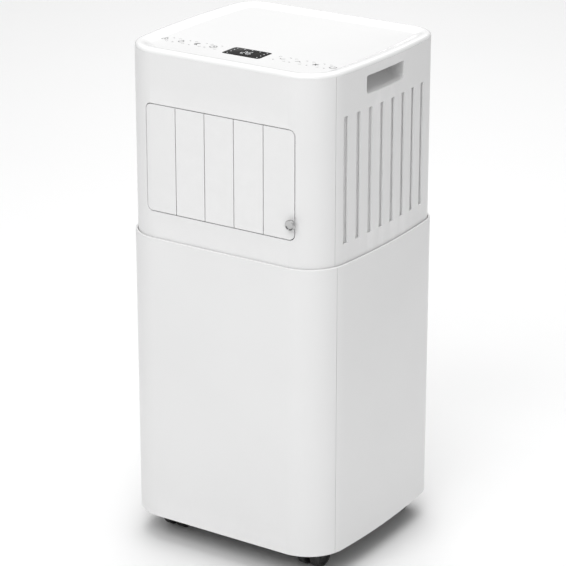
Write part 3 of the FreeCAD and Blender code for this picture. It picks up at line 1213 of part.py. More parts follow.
def caster(corner, x, y):
    """A hooded fork that swivels on its stem, and two wheels on one axle that trail behind it."""
    wheel_y = f"({y}) + trail"
    hub = (wheel_y, "wheel_radius")
    name = f"caster_{corner}"
    hood = rod(name + "_hood", "hood_radius", "X", hub, (f"{x} - hood_half", f"{x} + hood_half"))
    cap = rod(name + "_cap", "cap_radius", "Z", (x, y), ("wheel_radius", "pan_low - cap_gap"))
    below = box(name + "_below", (f"{x} - caster_y", f"{x} + caster_y"),
                (f"{y} - caster_y", f"{y} + caster_y"), ("-wheel_radius", "hood_low"))
    rooms = [rod(f"{name}_room_{side}", "wheel_radius + hood_gap", "X", hub, ends)
             for side, ends in (("left", (f"{x} - caster_y", f"{x} - web_half")),
                                ("right", (f"{x} + web_half", f"{x} + caster_y")))]
    shell = cut(name + "_shell", fuse(name + "_solid", hood, cap), below, *rooms)
    web = rod(name + "_web", "web_radius", "X", hub, (f"{x} - web_half", f"{x} + web_half"))
    stay = box(name + "_stay", (f"{x} - web_half", f"{x} + web_half"),
               (f"{wheel_y} - web_radius", f"{wheel_y} + web_radius"), ("wheel_radius", "wheel_radius * 2"))
    stem = rod(name + "_stem", "stem_radius", "Z", (x, y),
               ("pan_low - cap_gap * 2", "pan_low + stem_length - cap_gap"))
    bore = rod(name + "_bore", "axle_radius + axle_fit", "X", hub, (f"{x} - hood_half", f"{x} + hood_half"))
    node(cut(name + "_made", fuse(name + "_whole", shell, web, stay, stem), bore), f"caster_fork_{corner}")
    axle = rod(name + "_axle", "axle_radius", "X", hub,
               (f"{x} - wheel_outer + stub", f"{x} + wheel_outer - stub"))
    discs = []
    for side, sign in (("left", "-"), ("right", "+")):
        ends = sorted((f"{x} {sign} wheel_inner", f"{x} {sign} wheel_outer"), key=value)
        discs.append(rod(f"{name}_disc_{side}", "wheel_radius", "X", hub, ends))
    wheels = fuse(name + "_pair", axle, *discs)
    doc.recompute()
    rims = [(number, value("wheel_round"), value("wheel_round"))
            for number, edge in enumerate(wheels.Shape.Edges, start=1)
            if isinstance(edge.Curve, Part.Circle) and abs(edge.Curve.Radius - value("wheel_radius")) < 0.01]
    made = doc.addObject("Part::Fillet", name + "_wheels")
    made.Base = wheels
    made.Edges = rims
    node(made, f"caster_wheels_{corner}")


# ---- the whole machine -----------------------------------------------------------------------------------

def build():
    top_lid()
    display_window()
    control_board()
    touch_springs()
    front_upper_casing()
    rear_upper_casing()
    front_lower_casing()
    rear_lower_casing()
    for number in range(1, VANES + 1):
        vane(number)
    vane_knob()
    vane_link_bar()
    outlet_frame()
    for side, sign in (("left", -1), ("right", 1)):
        handle_cup(side, sign)
        side_filter(side, sign)
    coil("evaporator_left", "Y", ("-coil_half", "coil_half"), ("-coil_outer", "-coil_inner"),
         ("coil_low", "coil_high"), "tray_low + tray_thick")
    coil("evaporator_right", "Y", ("-coil_half", "coil_half"), ("coil_inner", "coil_outer"),
         ("coil_low", "coil_high"), "tray_low + tray_thick")
    coil("condenser", "X", ("-condenser_half", "condenser_half"), ("condenser_front", "condenser_rear"),
         ("condenser_low", "condenser_high"), "pan_low + pan_thick")
    refrigerant_pipes()
    upper_fan()
    lower_fan()
    partition_tray()
    base_pan()
    float_ring()
    splash_unit()
    drain()
    compressor()
    compressor_mounting()
    accumulator()
    electrical_box()
    condenser_grille()
    exhaust_panel()
    exhaust_collar()
    screws()
    mains_gland()
    for corner, (x, y) in caster_places().items():
        caster(corner, x, y)
    doc.recompute()


def check_document():
    """Stop on a failed object, a bad shape, or a cut that removed nothing."""
    for made in doc.Objects:
        if {"Invalid", "Error"} & set(made.State):
            raise RuntimeError(f"{made.Name} ({made.Label}) failed: {made.State}")
        if made.TypeId == "PartDesign::Pocket" and made.Shape.Volume >= made.BaseFeature.Shape.Volume - 0.01:
            raise RuntimeError(f"{made.Name} cuts nothing")
    for made in nodes:
        if made.Shape.isNull() or not made.Shape.isValid():
            raise RuntimeError(f"{made.Label} has no valid shape")


def export():
    os.makedirs("parts", exist_ok=True)
    for made in nodes:
        made.Shape.exportStep(os.path.join("parts", made.Label + ".step"))


build()
check_document()
export()
print(len(nodes), "sub-parts written")
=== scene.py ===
# %% [markdown]
# # A portable air conditioner that also dries the air
# The frame below is the finished machine as its maker drew it: casings, vanes, fans, coils and casters, each in
# its real place, in metres. This lesson gives every one of those pieces its finish, and makes again, with softer
# edges and finer detail, the ones that a person looks at. Nothing is moved: each new piece rides on the body
# that carried the drawn one.

# %% Load the frame
import json
import math

import bmesh
import bpy
from mathutils import Matrix, Vector


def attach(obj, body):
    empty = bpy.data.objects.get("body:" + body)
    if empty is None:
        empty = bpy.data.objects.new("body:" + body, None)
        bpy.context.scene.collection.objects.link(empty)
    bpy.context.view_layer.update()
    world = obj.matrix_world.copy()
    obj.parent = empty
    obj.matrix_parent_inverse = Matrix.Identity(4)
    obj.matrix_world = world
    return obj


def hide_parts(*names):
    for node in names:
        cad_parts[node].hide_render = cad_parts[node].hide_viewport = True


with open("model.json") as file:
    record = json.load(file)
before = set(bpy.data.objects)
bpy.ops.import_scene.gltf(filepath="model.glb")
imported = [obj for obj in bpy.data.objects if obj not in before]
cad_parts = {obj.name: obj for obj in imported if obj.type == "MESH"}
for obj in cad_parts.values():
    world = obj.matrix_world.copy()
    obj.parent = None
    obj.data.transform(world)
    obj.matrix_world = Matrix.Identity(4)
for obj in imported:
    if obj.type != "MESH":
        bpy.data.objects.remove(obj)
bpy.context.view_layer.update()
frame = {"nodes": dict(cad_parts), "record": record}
nodes = frame["nodes"]
carrier = {node: body for body, members in frame["record"]["behaviour"]["bodies"].items() for node in members}

# %% [markdown]
# ## Small tools for building shaders
# A procedural finish is a few nodes wired in a row. These helpers add a node, set its inputs and wire it in one
# call, so that each finish below reads as a recipe. An input may be a number, a colour or another node's output.

# %% Shader helpers
def add(tree, kind, inputs=None, **settings):
    """Add a shader node, change its settings, and set or wire its inputs by name or number."""
    made = tree.nodes.new(kind)
    for key, setting in settings.items():
        setattr(made, key, setting)
    for key, given in (inputs or {}).items():
        socket = made.inputs[key]
        if isinstance(given, bpy.types.NodeSocket):
            tree.links.new(given, socket)
        else:
            socket.default_value = given
    return made


def new_group(name, inputs, outputs):
    """An empty node group with named inputs (name: default) and named outputs, which are plain values."""
    group = bpy.data.node_groups.new(name, "ShaderNodeTree")
    for socket, default in inputs.items():
        kind = "NodeSocketVector" if isinstance(default, Vector) else "NodeSocketFloat"
        group.interface.new_socket(socket, in_out="INPUT", socket_type=kind).default_value = default
    for socket in outputs:
        group.interface.new_socket(socket, in_out="OUTPUT", socket_type="NodeSocketFloat")
    return group, group.nodes.new("NodeGroupInput").outputs, group.nodes.new("NodeGroupOutput").inputs


def use(tree, group, **inputs):
    """Place a group in a material with its own values and return its outputs."""
    return add(tree, "ShaderNodeGroup", inputs, node_tree=group).outputs


def start_material(name, plain_sockets):
    """A material with one Principled shader whose plain sockets are set at once."""
    material = bpy.data.materials.new(name)
    material.use_nodes = True
    tree = material.node_tree
    shader = tree.nodes["Principled BSDF"]
    for key, given in plain_sockets.items():
        shader.inputs[key].default_value = given
    return material, tree, shader


def colour_and_roughness(tree, shader, tone, rough):
    """Wire the two outputs that every finish gives its shader."""
    tree.links.new(tone, shader.inputs["Base Color"])
    tree.links.new(rough, shader.inputs["Roughness"])


def place_in(tree):
    """The point being shaded, in the object's own metres."""
    return add(tree, "ShaderNodeTexCoord").outputs["Object"]


print("shader helpers ready")

# %% [markdown]
# ## Where the viewer stands
# The camera comes early, so that every later step can be looked at. A long lens from well back keeps the upright
# edges nearly parallel, and a small shift places the machine in the frame without tilting it.

# %% Camera
def put_camera(place, looking, lens, shift):
    lens_and_film = bpy.data.cameras.new("camera")
    lens_and_film.lens = lens
    lens_and_film.sensor_width = 36
    lens_and_film.shift_x, lens_and_film.shift_y = shift
    lens_and_film.clip_end = 100
    camera = bpy.data.objects.new("camera", lens_and_film)
    camera.location = place
    camera.rotation_euler = Vector(looking).to_track_quat("-Z", "Y").to_euler()
    bpy.context.scene.collection.objects.link(camera)
    bpy.context.scene.camera = camera
    return camera


STAND, LOOKING = (1.7603, -2.6582, 1.5429), (-0.51820, 0.78253, -0.34513)
LENS, SHIFT = 158.64, (0.0013, -0.0174)
camera = put_camera(STAND, LOOKING, LENS, SHIFT)
print(f"camera {camera.location.length:.2f} m from the origin")

# %% [markdown]
# ## Floor and light
# White plastic only shows its shape through soft steps of grey. A wide soft light overhead makes the lid
# brightest, one above the viewer lights the front and the floor before it, and a narrow upright strip off the
# right-hand corner lights that corner while the side stays a step darker. A weak one behind lifts the lid's rear
# rim, and a wide one over the far floor keeps the background pale. The world adds an even white from all round.

# %% Studio
def area_light(name, place, target, width, height, watts):
    lamp = bpy.data.lights.new(name, "AREA")
    lamp.shape = "RECTANGLE"
    lamp.size, lamp.size_y = width, height
    lamp.energy = watts
    light = bpy.data.objects.new(name, lamp)
    light.location = place
    light.rotation_euler = (Vector(target) - Vector(place)).to_track_quat("-Z", "Y").to_euler()
    bpy.context.scene.collection.objects.link(light)


# place, the point it looks at, width and height in metres, and watts
STUDIO = {
    "overhead": ((0.0, 0.3, 3.4), (0, 0, 0.5), 3.0, 3.0, 64),
    "above_viewer": ((0.5, -2.4, 2.8), (0, 0, 0.4), 3.0, 2.0, 61),
    "corner_strip": ((2.7, -2.3, 1.3), (0, 0, 0.4), 0.5, 2.2, 6),
    "behind": ((-2.1, 3.3, 1.5), (0, 0, 0.7), 4.0, 2.0, 4),
    "background": ((-1.8, 2.8, 2.8), (-1.8, 2.8, 0), 4.0, 3.0, 42),
}
for name, (place, target, width, height, watts) in STUDIO.items():
    area_light(name, place, target, width, height, watts)
world = bpy.data.worlds.new("studio")
world.use_nodes = True
for socket, given in (("Color", (1, 1, 1, 1)), ("Strength", 0.33)):
    world.node_tree.nodes["Background"].inputs[socket].default_value = given
bpy.context.scene.world = world
bpy.context.scene.view_settings.view_transform = "Standard"
print(f"{len(STUDIO)} lights")

# %% [markdown]
# ## Effects that several finishes share
# Each effect is a node group with named inputs, so that one recipe serves many materials at different sizes.
# *Moulded grain* is the fine spark-eroded skin of a tool and the slow shade changes of a large moulding. *Edge
# wear and highlight* pales pointed edges in patches, partly as wear from handling and partly as a painted highlight
# along the edges. *Settled dust* lies on faces that look up.
# *Brushed lines* are the drawn marks of metal. The groups give out only masks and heights: the shader itself
# stays in each material.

# %% Shared effect groups
FULLY_WORN_AND_HIGHLIT = 0.62  # how pointed an edge is when it is paled all over, by wear and by a painted highlight


def noise(tree, place, scale, detail=2.0):
    """Soft clouds of values about a half; more detail breaks them up."""
    return add(tree, "ShaderNodeTexNoise", {"Vector": place, "Scale": scale, "Detail": detail}).outputs["Fac"]


def rising(tree, value, start, stop):
    """0 up to start, 1 from stop on and a straight rise between them."""
    return add(tree, "ShaderNodeMapRange", {"Value": value, "From Min": start, "From Max": stop}).outputs["Result"]


def product(tree, one, other):
    return add(tree, "ShaderNodeMath", {0: one, 1: other}, operation="MULTIPLY").outputs["Value"]


def moulded_grain():
    group, given, out = new_group("moulded grain", {"Place": Vector(), "Grain": 1200.0, "Mottle": 7.0},
                                  ("Height", "Shade"))
    slow = noise(group, given["Place"], given["Mottle"], 3.0)
    group.links.new(noise(group, given["Place"], given["Grain"]), out["Height"])
    group.links.new(rising(group, slow, 0.3, 0.7), out["Shade"])
    return group


# Pointed edges are paled in patches: partly wear from handling, partly a painted highlight along the edges.
def edge_wear_and_highlight():
    group, given, out = new_group("edge wear and highlight", {"Place": Vector(), "Sharpness": 0.52, "Patches": 60.0}, ("Mask",))
    shape = add(group, "ShaderNodeNewGeometry")
    edge = rising(group, shape.outputs["Pointiness"], given["Sharpness"], FULLY_WORN_AND_HIGHLIT)
    group.links.new(product(group, edge, noise(group, given["Place"], given["Patches"])), out["Mask"])
    return group


def settled_dust():
    group, given, out = new_group("settled dust", {"Place": Vector(), "Clumps": 40.0}, ("Mask",))
    shape = add(group, "ShaderNodeNewGeometry")
    facing = add(group, "ShaderNodeSeparateXYZ", {0: shape.outputs["Normal"]})
    upward = rising(group, facing.outputs["Z"], 0.5, 1.0)
    group.links.new(product(group, upward, noise(group, given["Place"], given["Clumps"], 6.0)), out["Mask"])
    return group


def brushed_lines():
    group, given, out = new_group("brushed lines", {"Place": Vector(), "Stretch": Vector((30, 30, 900))},
                                  ("Lines",))
    drawn = add(group, "ShaderNodeVectorMath", {0: given["Place"], 1: given["Stretch"]}, operation="MULTIPLY")
    group.links.new(noise(group, drawn.outputs["Vector"], 1.0, 3.0), out["Lines"])
    return group


GRAIN, EDGE_WEAR_AND_HIGHLIGHT, DUST, BRUSHED = moulded_grain(), edge_wear_and_highlight(), settled_dust(), brushed_lines()
print("effects:", ", ".join(group.name for group in bpy.data.node_groups))

# %% [markdown]
# ## Plastic and rubber
# Every plastic here is the same recipe at different strengths: two close shades that drift over the part, a
# finely broken surface, edges a little paler, partly where hands rub them and partly as a painted highlight, and dust
# on what faces up. Constants that are the same all over, such as coat roughness, are set on the shader's own sockets.

# %% Recipe for moulded plastic
MIX_MASK, MIX_LOW, MIX_HIGH, MIX_RESULT = 0, 6, 7, 2  # the colour sockets of a mix node, by number
DUST_TONE = (0.62, 0.60, 0.57, 1)
# how much paler a pointed edge gets: wear and a painted edge highlight together
WORN_AND_HIGHLIT_GAIN, WORN_AND_HIGHLIT_LIFT = 1.25, 0.02


def mixed(tree, mask, low, high):
    """One of two colours, or between them, by a mask."""
    mix = add(tree, "ShaderNodeMix", {MIX_MASK: mask, MIX_LOW: low, MIX_HIGH: high}, data_type="RGBA")
    return mix.outputs[MIX_RESULT]


def ranged(tree, value, low, high):
    """A 0 to 1 value laid between two limits."""
    return add(tree, "ShaderNodeMapRange", {"Value": value, "To Min": low, "To Max": high}).outputs["Result"]


def grey(level, tint=0.0):
    return (level * (1 - tint), level, level * (1 + tint), 1)


def bumped(tree, shader, height, depth):
    bump = add(tree, "ShaderNodeBump", {"Strength": 1.0, "Distance": depth, "Height": height})
    tree.links.new(bump.outputs["Normal"], shader.inputs["Normal"])


def moulded(name, colour, shade, rough, grain=1300.0, depth=0.00001, wear_and_highlight=0.3, dust=0.1, **sockets):
    """A plastic or rubber finish: colour and shade are its two tones, rough its lowest and highest roughness."""
    material, tree, shader = start_material(name, {key.replace("_", " "): v for key, v in sockets.items()})
    place = place_in(tree)
    skin = use(tree, GRAIN, Place=place, Grain=grain, Mottle=7.0)
    tone = mixed(tree, skin["Shade"], colour, shade)
    # pointed edges are paled towards a lighter tone: partly wear, partly a painted edge highlight
    edge = ranged(tree, use(tree, EDGE_WEAR_AND_HIGHLIGHT, Place=place)["Mask"], 0.0, wear_and_highlight)
    pale = tuple(min(1.0, channel * WORN_AND_HIGHLIT_GAIN + WORN_AND_HIGHLIT_LIFT) for channel in colour[:3]) + (1,)
    tone = mixed(tree, edge, tone, pale)
    fallen = ranged(tree, use(tree, DUST, Place=place)["Mask"], 0.0, dust)
    tone = mixed(tree, fallen, tone, DUST_TONE)
    colour_and_roughness(tree, shader, tone, ranged(tree, skin["Shade"], *rough))
    bumped(tree, shader, skin["Height"], depth)
    return material


FINISHES = {
    "cabinet_white": moulded("satin_white", grey(0.80), grey(0.785), (0.30, 0.36), dust=0.03),
    "lid_gloss": moulded("gloss_white", grey(0.86), grey(0.85), (0.10, 0.15), depth=0.000002, dust=0.02,
                         Coat_Weight=0.4, Coat_Roughness=0.06),
    "inner_plastic": moulded("inner_white", grey(0.68), grey(0.64), (0.42, 0.5)),
    "cup_plastic": moulded("cup_grey", grey(0.70), grey(0.68), (0.38, 0.45)),
    # the net is paler than the cabinet so that its threads stay light in the slots' shade: its own light grey lifted
    # by painted light
    "filter_mesh": moulded("net_grey_painted_light", grey(0.86), grey(0.82), (0.5, 0.6), dust=0.05),
    "fan_plastic": moulded("fan_black", grey(0.030), grey(0.040), (0.45, 0.6), dust=0.25),
    "pan_plastic": moulded("pan_grey", grey(0.10), grey(0.085), (0.5, 0.62), dust=0.2),
    "rubber_black": moulded("rubber", grey(0.018), grey(0.026), (0.7, 0.85), grain=600.0, depth=0.00003),
    "gland_black": moulded("gland", grey(0.020), grey(0.028), (0.45, 0.55)),
    "caster_black": moulded("fork_black", grey(0.016), grey(0.022), (0.32, 0.42), wear_and_highlight=0.15),
    "float_foam": moulded("foam", (0.78, 0.77, 0.70, 1), (0.66, 0.65, 0.58, 1), (0.85, 0.95), grain=420.0,
                          depth=0.0003),
}
print(len(FINISHES), "plastic and rubber finishes")

# %% [markdown]
# ## Metals
# Bare metal is a mirror that is broken up along the direction in which it was drawn, rolled or plated. The same
# recipe gives bright chrome, zinc, copper pipe and aluminium fins: only the colour, the stretch of the lines and
# the roughness differ. Painted steel is a plastic-like skin, so the can of the compressor uses the other recipe.

# %% Recipe for metal
def metal(name, colour, dull, rough, stretch, depth=0.000004):
    """A bare metal: colour where bright, dull where handled or oxidised."""
    material, tree, shader = start_material(name, {"Metallic": 1.0})
    place = place_in(tree)
    lines = use(tree, BRUSHED, Place=place, Stretch=Vector(stretch))["Lines"]
    skin = use(tree, GRAIN, Place=place, Grain=900.0, Mottle=30.0)
    colour_and_roughness(tree, shader, mixed(tree, skin["Shade"], colour, dull), ranged(tree, lines, *rough))
    bumped(tree, shader, lines, depth)
    return material


FINISHES |= {
    "knob_chrome": metal("chrome", grey(0.52), grey(0.46), (0.04, 0.12), (400, 400, 400), depth=0.000001),
    "spring_steel": metal("spring_wire", grey(0.55), grey(0.45), (0.25, 0.4), (200, 200, 2000)),
    "screw_steel": metal("zinc_screw", (0.56, 0.57, 0.60, 1), (0.45, 0.46, 0.47, 1), (0.25, 0.4), (900, 900, 900)),
    "motor_steel": metal("zinc_can", (0.58, 0.59, 0.61, 1), (0.44, 0.44, 0.45, 1), (0.3, 0.45), (60, 60, 900)),
    "box_steel": metal("galvanised", (0.60, 0.61, 0.62, 1), (0.46, 0.47, 0.49, 1), (0.35, 0.5), (90, 90, 90)),
    "coil_aluminium": metal("fin_stock", (0.76, 0.77, 0.78, 1), (0.62, 0.63, 0.64, 1), (0.28, 0.45), (700, 700, 40)),
    "tube_copper": metal("copper_pipe", (0.86, 0.47, 0.32, 1), (0.52, 0.25, 0.16, 1), (0.2, 0.38), (120, 120, 120)),
    "compressor_black": moulded("black_enamel", grey(0.014), grey(0.022), (0.18, 0.28), grain=500.0,
                                depth=0.00002, Coat_Weight=0.5, Coat_Roughness=0.15),
}
print(len(FINISHES), "finishes so far")

# %% [markdown]
# ## Circuit board, display and tyre
# A board shows copper tracks under a green mask: a brick pattern gives the tracks and a cell pattern the tinned
# pads. The display is a black polished window that shows fingerprints only as patches of roughness. A tyre is two
# close blacks, with dust in small clumps on what faces up.

# %% Special finishes
def board_finish():
    material, tree, shader = start_material("solder_mask", {"Coat Weight": 0.6, "Coat Roughness": 0.12})
    place = place_in(tree)
    tracks = add(tree, "ShaderNodeTexBrick", {"Vector": place, "Color1": grey(0.0), "Color2": grey(0.3),
                                              "Mortar": grey(1.0), "Scale": 130.0, "Mortar Size": 0.035})
    pads = add(tree, "ShaderNodeTexVoronoi", {"Vector": place, "Scale": 260.0})
    pad = add(tree, "ShaderNodeMath", {0: pads.outputs["Distance"], 1: 0.16}, operation="LESS_THAN")
    tone = mixed(tree, tracks.outputs["Fac"], (0.010, 0.075, 0.030, 1), (0.030, 0.15, 0.060, 1))
    tone = mixed(tree, pad.outputs["Value"], tone, (0.62, 0.60, 0.52, 1))
    colour_and_roughness(tree, shader, tone, ranged(tree, pad.outputs["Value"], 0.45, 0.2))
    bumped(tree, shader, tracks.outputs["Fac"], 0.00004)
    return material


def window_finish():
    material, tree, shader = start_material("polished_black", {"IOR": 1.09})
    place = place_in(tree)
    skin = use(tree, GRAIN, Place=place, Grain=90.0, Mottle=45.0)
    colour_and_roughness(tree, shader, mixed(tree, skin["Shade"], grey(0.010), grey(0.014)),
                         ranged(tree, skin["Shade"], 0.08, 0.2))
    return material


def tyre_finish():
    material, tree, shader = start_material("tyre_black", {})
    place = place_in(tree)
    skin = use(tree, GRAIN, Place=place, Grain=700.0, Mottle=60.0)
    dusty = use(tree, DUST, Place=place, Clumps=180.0)["Mask"]
    tone = mixed(tree, skin["Shade"], grey(0.016), grey(0.034))
    colour_and_roughness(tree, shader, mixed(tree, ranged(tree, dusty, 0.0, 0.2), tone, (0.3, 0.29, 0.27, 1)),
                         ranged(tree, skin["Shade"], 0.42, 0.62))
    bumped(tree, shader, skin["Height"], 0.00004)
    return material


FINISHES |= {"circuit_board": board_finish(), "display_black": window_finish(), "caster_tyre": tyre_finish()}
slot_of = {name: node.data.materials[0].name for name, node in nodes.items()}
for name, node in nodes.items():
    node.material_slots[0].material = FINISHES[slot_of[name]]
print(len(FINISHES), "finishes on", len(nodes), "nodes")

# %% [markdown]
# ## The cabinet's plan
# Seen from above, the cabinet is not a plain rectangle: front and back are flat, both sides bow out a little and
# the four corners are round. Everything on the outside follows that line, so it is worked out once, as a path of
# straight lines and arcs measured from the middle of the front. A piece can then ask where the surface is, and
# which way it faces, at any distance along it.

# %% The plan as a path
MM = 0.001
CASE_WIDTH, CASE_DEPTH = 333 * MM, 303 * MM
SIDE_RADIUS, FRONT_CORNER, REAR_CORNER = 1108.7 * MM, 57.5 * MM, 44 * MM
COLUMN_STEP, COLUMN_TURN, HAIR = 12 * MM, 3, 1e-7  # stations at most 12 mm and 3 degrees apart


class Plan:
    """The outside line of the cabinet, `inset` metres inside the widest casing."""

    def __init__(self, inset):
        self.half_depth = CASE_DEPTH / 2 - inset
        self.side = SIDE_RADIUS - inset
        self.middle = CASE_WIDTH / 2 - SIDE_RADIUS
        self.front, self.rear = FRONT_CORNER - inset, REAR_CORNER - inset
        front_y, rear_y = self.front - self.half_depth, self.half_depth - self.rear
        self.front_x = self.middle + math.sqrt((self.side - self.front) ** 2 - front_y ** 2)
        self.rear_x = self.middle + math.sqrt((self.side - self.rear) ** 2 - rear_y ** 2)
        self.low = math.asin(front_y / (self.side - self.front))
        self.high = math.asin(rear_y / (self.side - self.rear))
        lengths = (self.front_x, self.front * (self.low + math.pi / 2), self.side * (self.high - self.low),
                   self.rear * (math.pi / 2 - self.high), self.rear_x)
        self.ends = [sum(lengths[:i + 1]) for i in range(5)]
        self.half = self.ends[-1]

    def at(self, along):
        """(x, y) and the outward normal, `along` metres from the middle of the front, towards the right."""
        if along > self.half:
            along -= 2 * self.half
        sign = -1 if along < 0 else 1
        run = min(abs(along), self.half)
        a, b, c, d, _ = self.ends
        if run <= a:
            x, y, nx, ny = run, -self.half_depth, 0, -1
        elif run <= b:
            angle = -math.pi / 2 + (run - a) / self.front
            nx, ny = math.cos(angle), math.sin(angle)
            x, y = self.front_x + self.front * nx, self.front - self.half_depth + self.front * ny
        elif run <= c:
            angle = self.low + (run - b) / self.side
            nx, ny = math.cos(angle), math.sin(angle)
            x, y = self.middle + self.side * nx, self.side * ny
        elif run <= d:
            angle = self.high + (run - c) / self.rear
            nx, ny = math.cos(angle), math.sin(angle)
            x, y = self.rear_x + self.rear * nx, self.half_depth - self.rear + self.rear * ny
        else:
            x, y, nx, ny = self.rear_x - (run - d), self.half_depth, 0, 1
        return sign * x, y, sign * nx, ny

    def at_front(self, x):
        """How far along the path a point of the front lies, from its x."""
        run = abs(x)
        if run > self.front_x:
            run = self.front_x + self.front * math.asin((run - self.front_x) / self.front)
        return math.copysign(run, x)

    def at_side(self, y):
        """How far along the path a point of the right-hand side lies, from its y."""
        front_join = self.side * math.sin(self.low)
        if y < front_join:
            turn = math.asin((y + self.half_depth - self.front) / self.front)
            return self.ends[0] + self.front * (turn + math.pi / 2)
        return self.ends[1] + self.side * (math.asin(y / self.side) - self.low)

    def at_back(self, x):
        """How far along the path a point of the flat back lies, from its x."""
        return self.half - x

    def steps(self, start, stop):
        """Stations along the path, closer together round the corners, with every joint of the path among them."""
        joints = sorted({start, stop, *[joint for end in self.ends for joint in (end, 2 * self.half - end, -end)
                                        if start < joint < stop]})
        found = [start]
        for low, high in zip(joints, joints[1:]):
            turn = math.degrees(self.turn_between(low, high))
            count = max(1, math.ceil((high - low) / COLUMN_STEP), math.ceil(turn / COLUMN_TURN))
            found += [low + (high - low) * k / count for k in range(1, count + 1)]
        return found

    def turn_between(self, low, high):
        """How far the surface turns between two places of the path, just inside both, in radians."""
        a, b = self.at(low + HAIR)[2:], self.at(high - HAIR)[2:]
        return math.acos(max(-1.0, min(1.0, a[0] * b[0] + a[1] * b[1])))

# %% [markdown]
# ## Walls moulded along the plan
# A casing is a thin wall that follows the plan. It is drawn as a net of small cells, as a toolmaker would lay
# out the surface: columns along the path and rows up the height. A cell that falls in an opening is left out, and a
# rounded corner of an opening runs through the corners of cells, so that its chords lie exactly on the arc.

# %% Openings
ARC_PIECES = 6
NEAR_REPEAT, TOUCH = 0.02 * MM, 0.01 * MM


class Opening:
    """A rectangle with rounded corners, in metres along the path and up the height."""

    def __init__(self, left, right, low, high, base=0.0, crown=0.0):
        self.left, self.right, self.low, self.high = left, right, low, high
        self.base, self.crown = base, crown

    def corners(self):
        for x, inward in ((self.left, 1), (self.right, -1)):
            yield x, self.low, inward, 1, self.base
            yield x, self.high, inward, -1, self.crown

    def lines(self):
        """The columns and rows that its edges and rounded corners need."""
        columns, rows = {self.left, self.right}, {self.low, self.high}
        for x, z, right, up, radius in self.corners():
            for k in range(ARC_PIECES + 1 if radius else 0):
                turn = math.pi / 2 * k / ARC_PIECES
                columns.add(x + right * radius * (1 - math.sin(turn)))
                rows.add(z + up * radius * (1 - math.sin(turn)))
        return columns, rows

    def depth(self, x, z):
        """How far inside the opening a point lies: above zero inside, below zero outside."""
        depth = min(x - self.left, self.right - x, z - self.low, self.high - z)
        for corner_x, corner_z, right, up, radius in self.corners():
            across, along = right * (x - corner_x), up * (z - corner_z)
            if radius and across < radius and along < radius:
                depth = min(depth, radius - math.hypot(radius - across, radius - along))
        return depth


def merged(values):
    """Sorted values without near repeats."""
    kept = []
    for value in sorted(values):
        if not kept or value - kept[-1] > NEAR_REPEAT:
            kept.append(value)
    return kept


def spread(low, high, spacing):
    """Even steps from low to high, no further apart than spacing."""
    count = max(1, math.ceil((high - low) / spacing))
    return [low + (high - low) * k / count for k in range(count + 1)]


print("openings: a corner is", ARC_PIECES, "chords")

# %% [markdown]
# ## Thickness and edge rounding
# Each cell is laid twice, on the wall's outer and inner face, and wherever a cell has no neighbour an edge face
# joins the two. A narrow bevel then rounds every moulded edge, because an edge without a radius never catches the
# light, and the weighted normals keep the flat faces flat beside it.

# %% A wall and its finish
def wall_net(plan, stations, levels, thickness, solid, inward):
    """A closed mesh of a wall along the plan: solid(along, z) says how deep in the wall's outline a point is."""
    net = bmesh.new()
    outer, inner = {}, {}
    open_edges = {}  # edges of cells that have no neighbour yet; a dict keeps them in order

    def corner(i, j):
        if (i, j) not in outer:
            x, y, nx, ny = plan.at(stations[i])
            for side, back in ((outer, inward(levels[j])), (inner, thickness)):
                side[i, j] = net.verts.new((x - nx * back, y - ny * back, levels[j]))
        return i, j

    def cell(points):
        keys = [corner(*point) for point in points]
        net.faces.new([outer[key] for key in keys])
        net.faces.new([inner[key] for key in reversed(keys)])
        for key, following in zip(keys, keys[1:] + keys[:1]):
            if (following, key) in open_edges:
                del open_edges[following, key]
            else:
                open_edges[key, following] = True

    for i in range(len(stations) - 1):
        for j in range(len(levels) - 1):
            around = [(i, j), (i + 1, j), (i + 1, j + 1), (i, j + 1)]
            held = [(i, j) for i, j in around if solid(stations[i], levels[j]) > -TOUCH]
            if len(held) < 3:
                continue
            middle = (sum(stations[i] for i, _ in held) / len(held), sum(levels[j] for _, j in held) / len(held))
            if solid(*middle) > 0:
                cell(held)
    for key, following in open_edges:
        net.faces.new([outer[following], outer[key], inner[key], inner[following]])
    return net


def finish_piece(net, name, node=None, bevel=0.0, segments=3, sharp=35):
    """Turn a bmesh into an object with rounded edges that rides where its drawn node rides."""
    bmesh.ops.recalc_face_normals(net, faces=net.faces)
    mesh = bpy.data.meshes.new(name)
    net.to_mesh(mesh)
    net.free()
    piece = bpy.data.objects.new(name, mesh)
    bpy.context.scene.collection.objects.link(piece)
    mesh.polygons.foreach_set("use_smooth", [True] * len(mesh.polygons))
    mesh.set_sharp_from_angle(angle=math.radians(sharp))
    if bevel:
        rounding = piece.modifiers.new("edge radius", "BEVEL")
        rounding.width, rounding.segments = bevel, segments
        rounding.limit_method, rounding.angle_limit = "ANGLE", math.radians(sharp)
        weigh = piece.modifiers.new("even shading", "WEIGHTED_NORMAL")
        weigh.keep_sharp, weigh.weight = False, 60
    if node:
        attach(piece, carrier[node])
        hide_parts(node)
    return piece


print("walls: cells, thickness and bevels")

# %% [markdown]
# ## The four casings
# The cabinet is four thin walls: a front shell that wraps both front corners and a rear shell for the rest, in
# an upper and a wider lower storey. The lower one ends in a rounded lip that hides the joint. Each opening is
# given where it is measured: across the front, along the side or across the back.

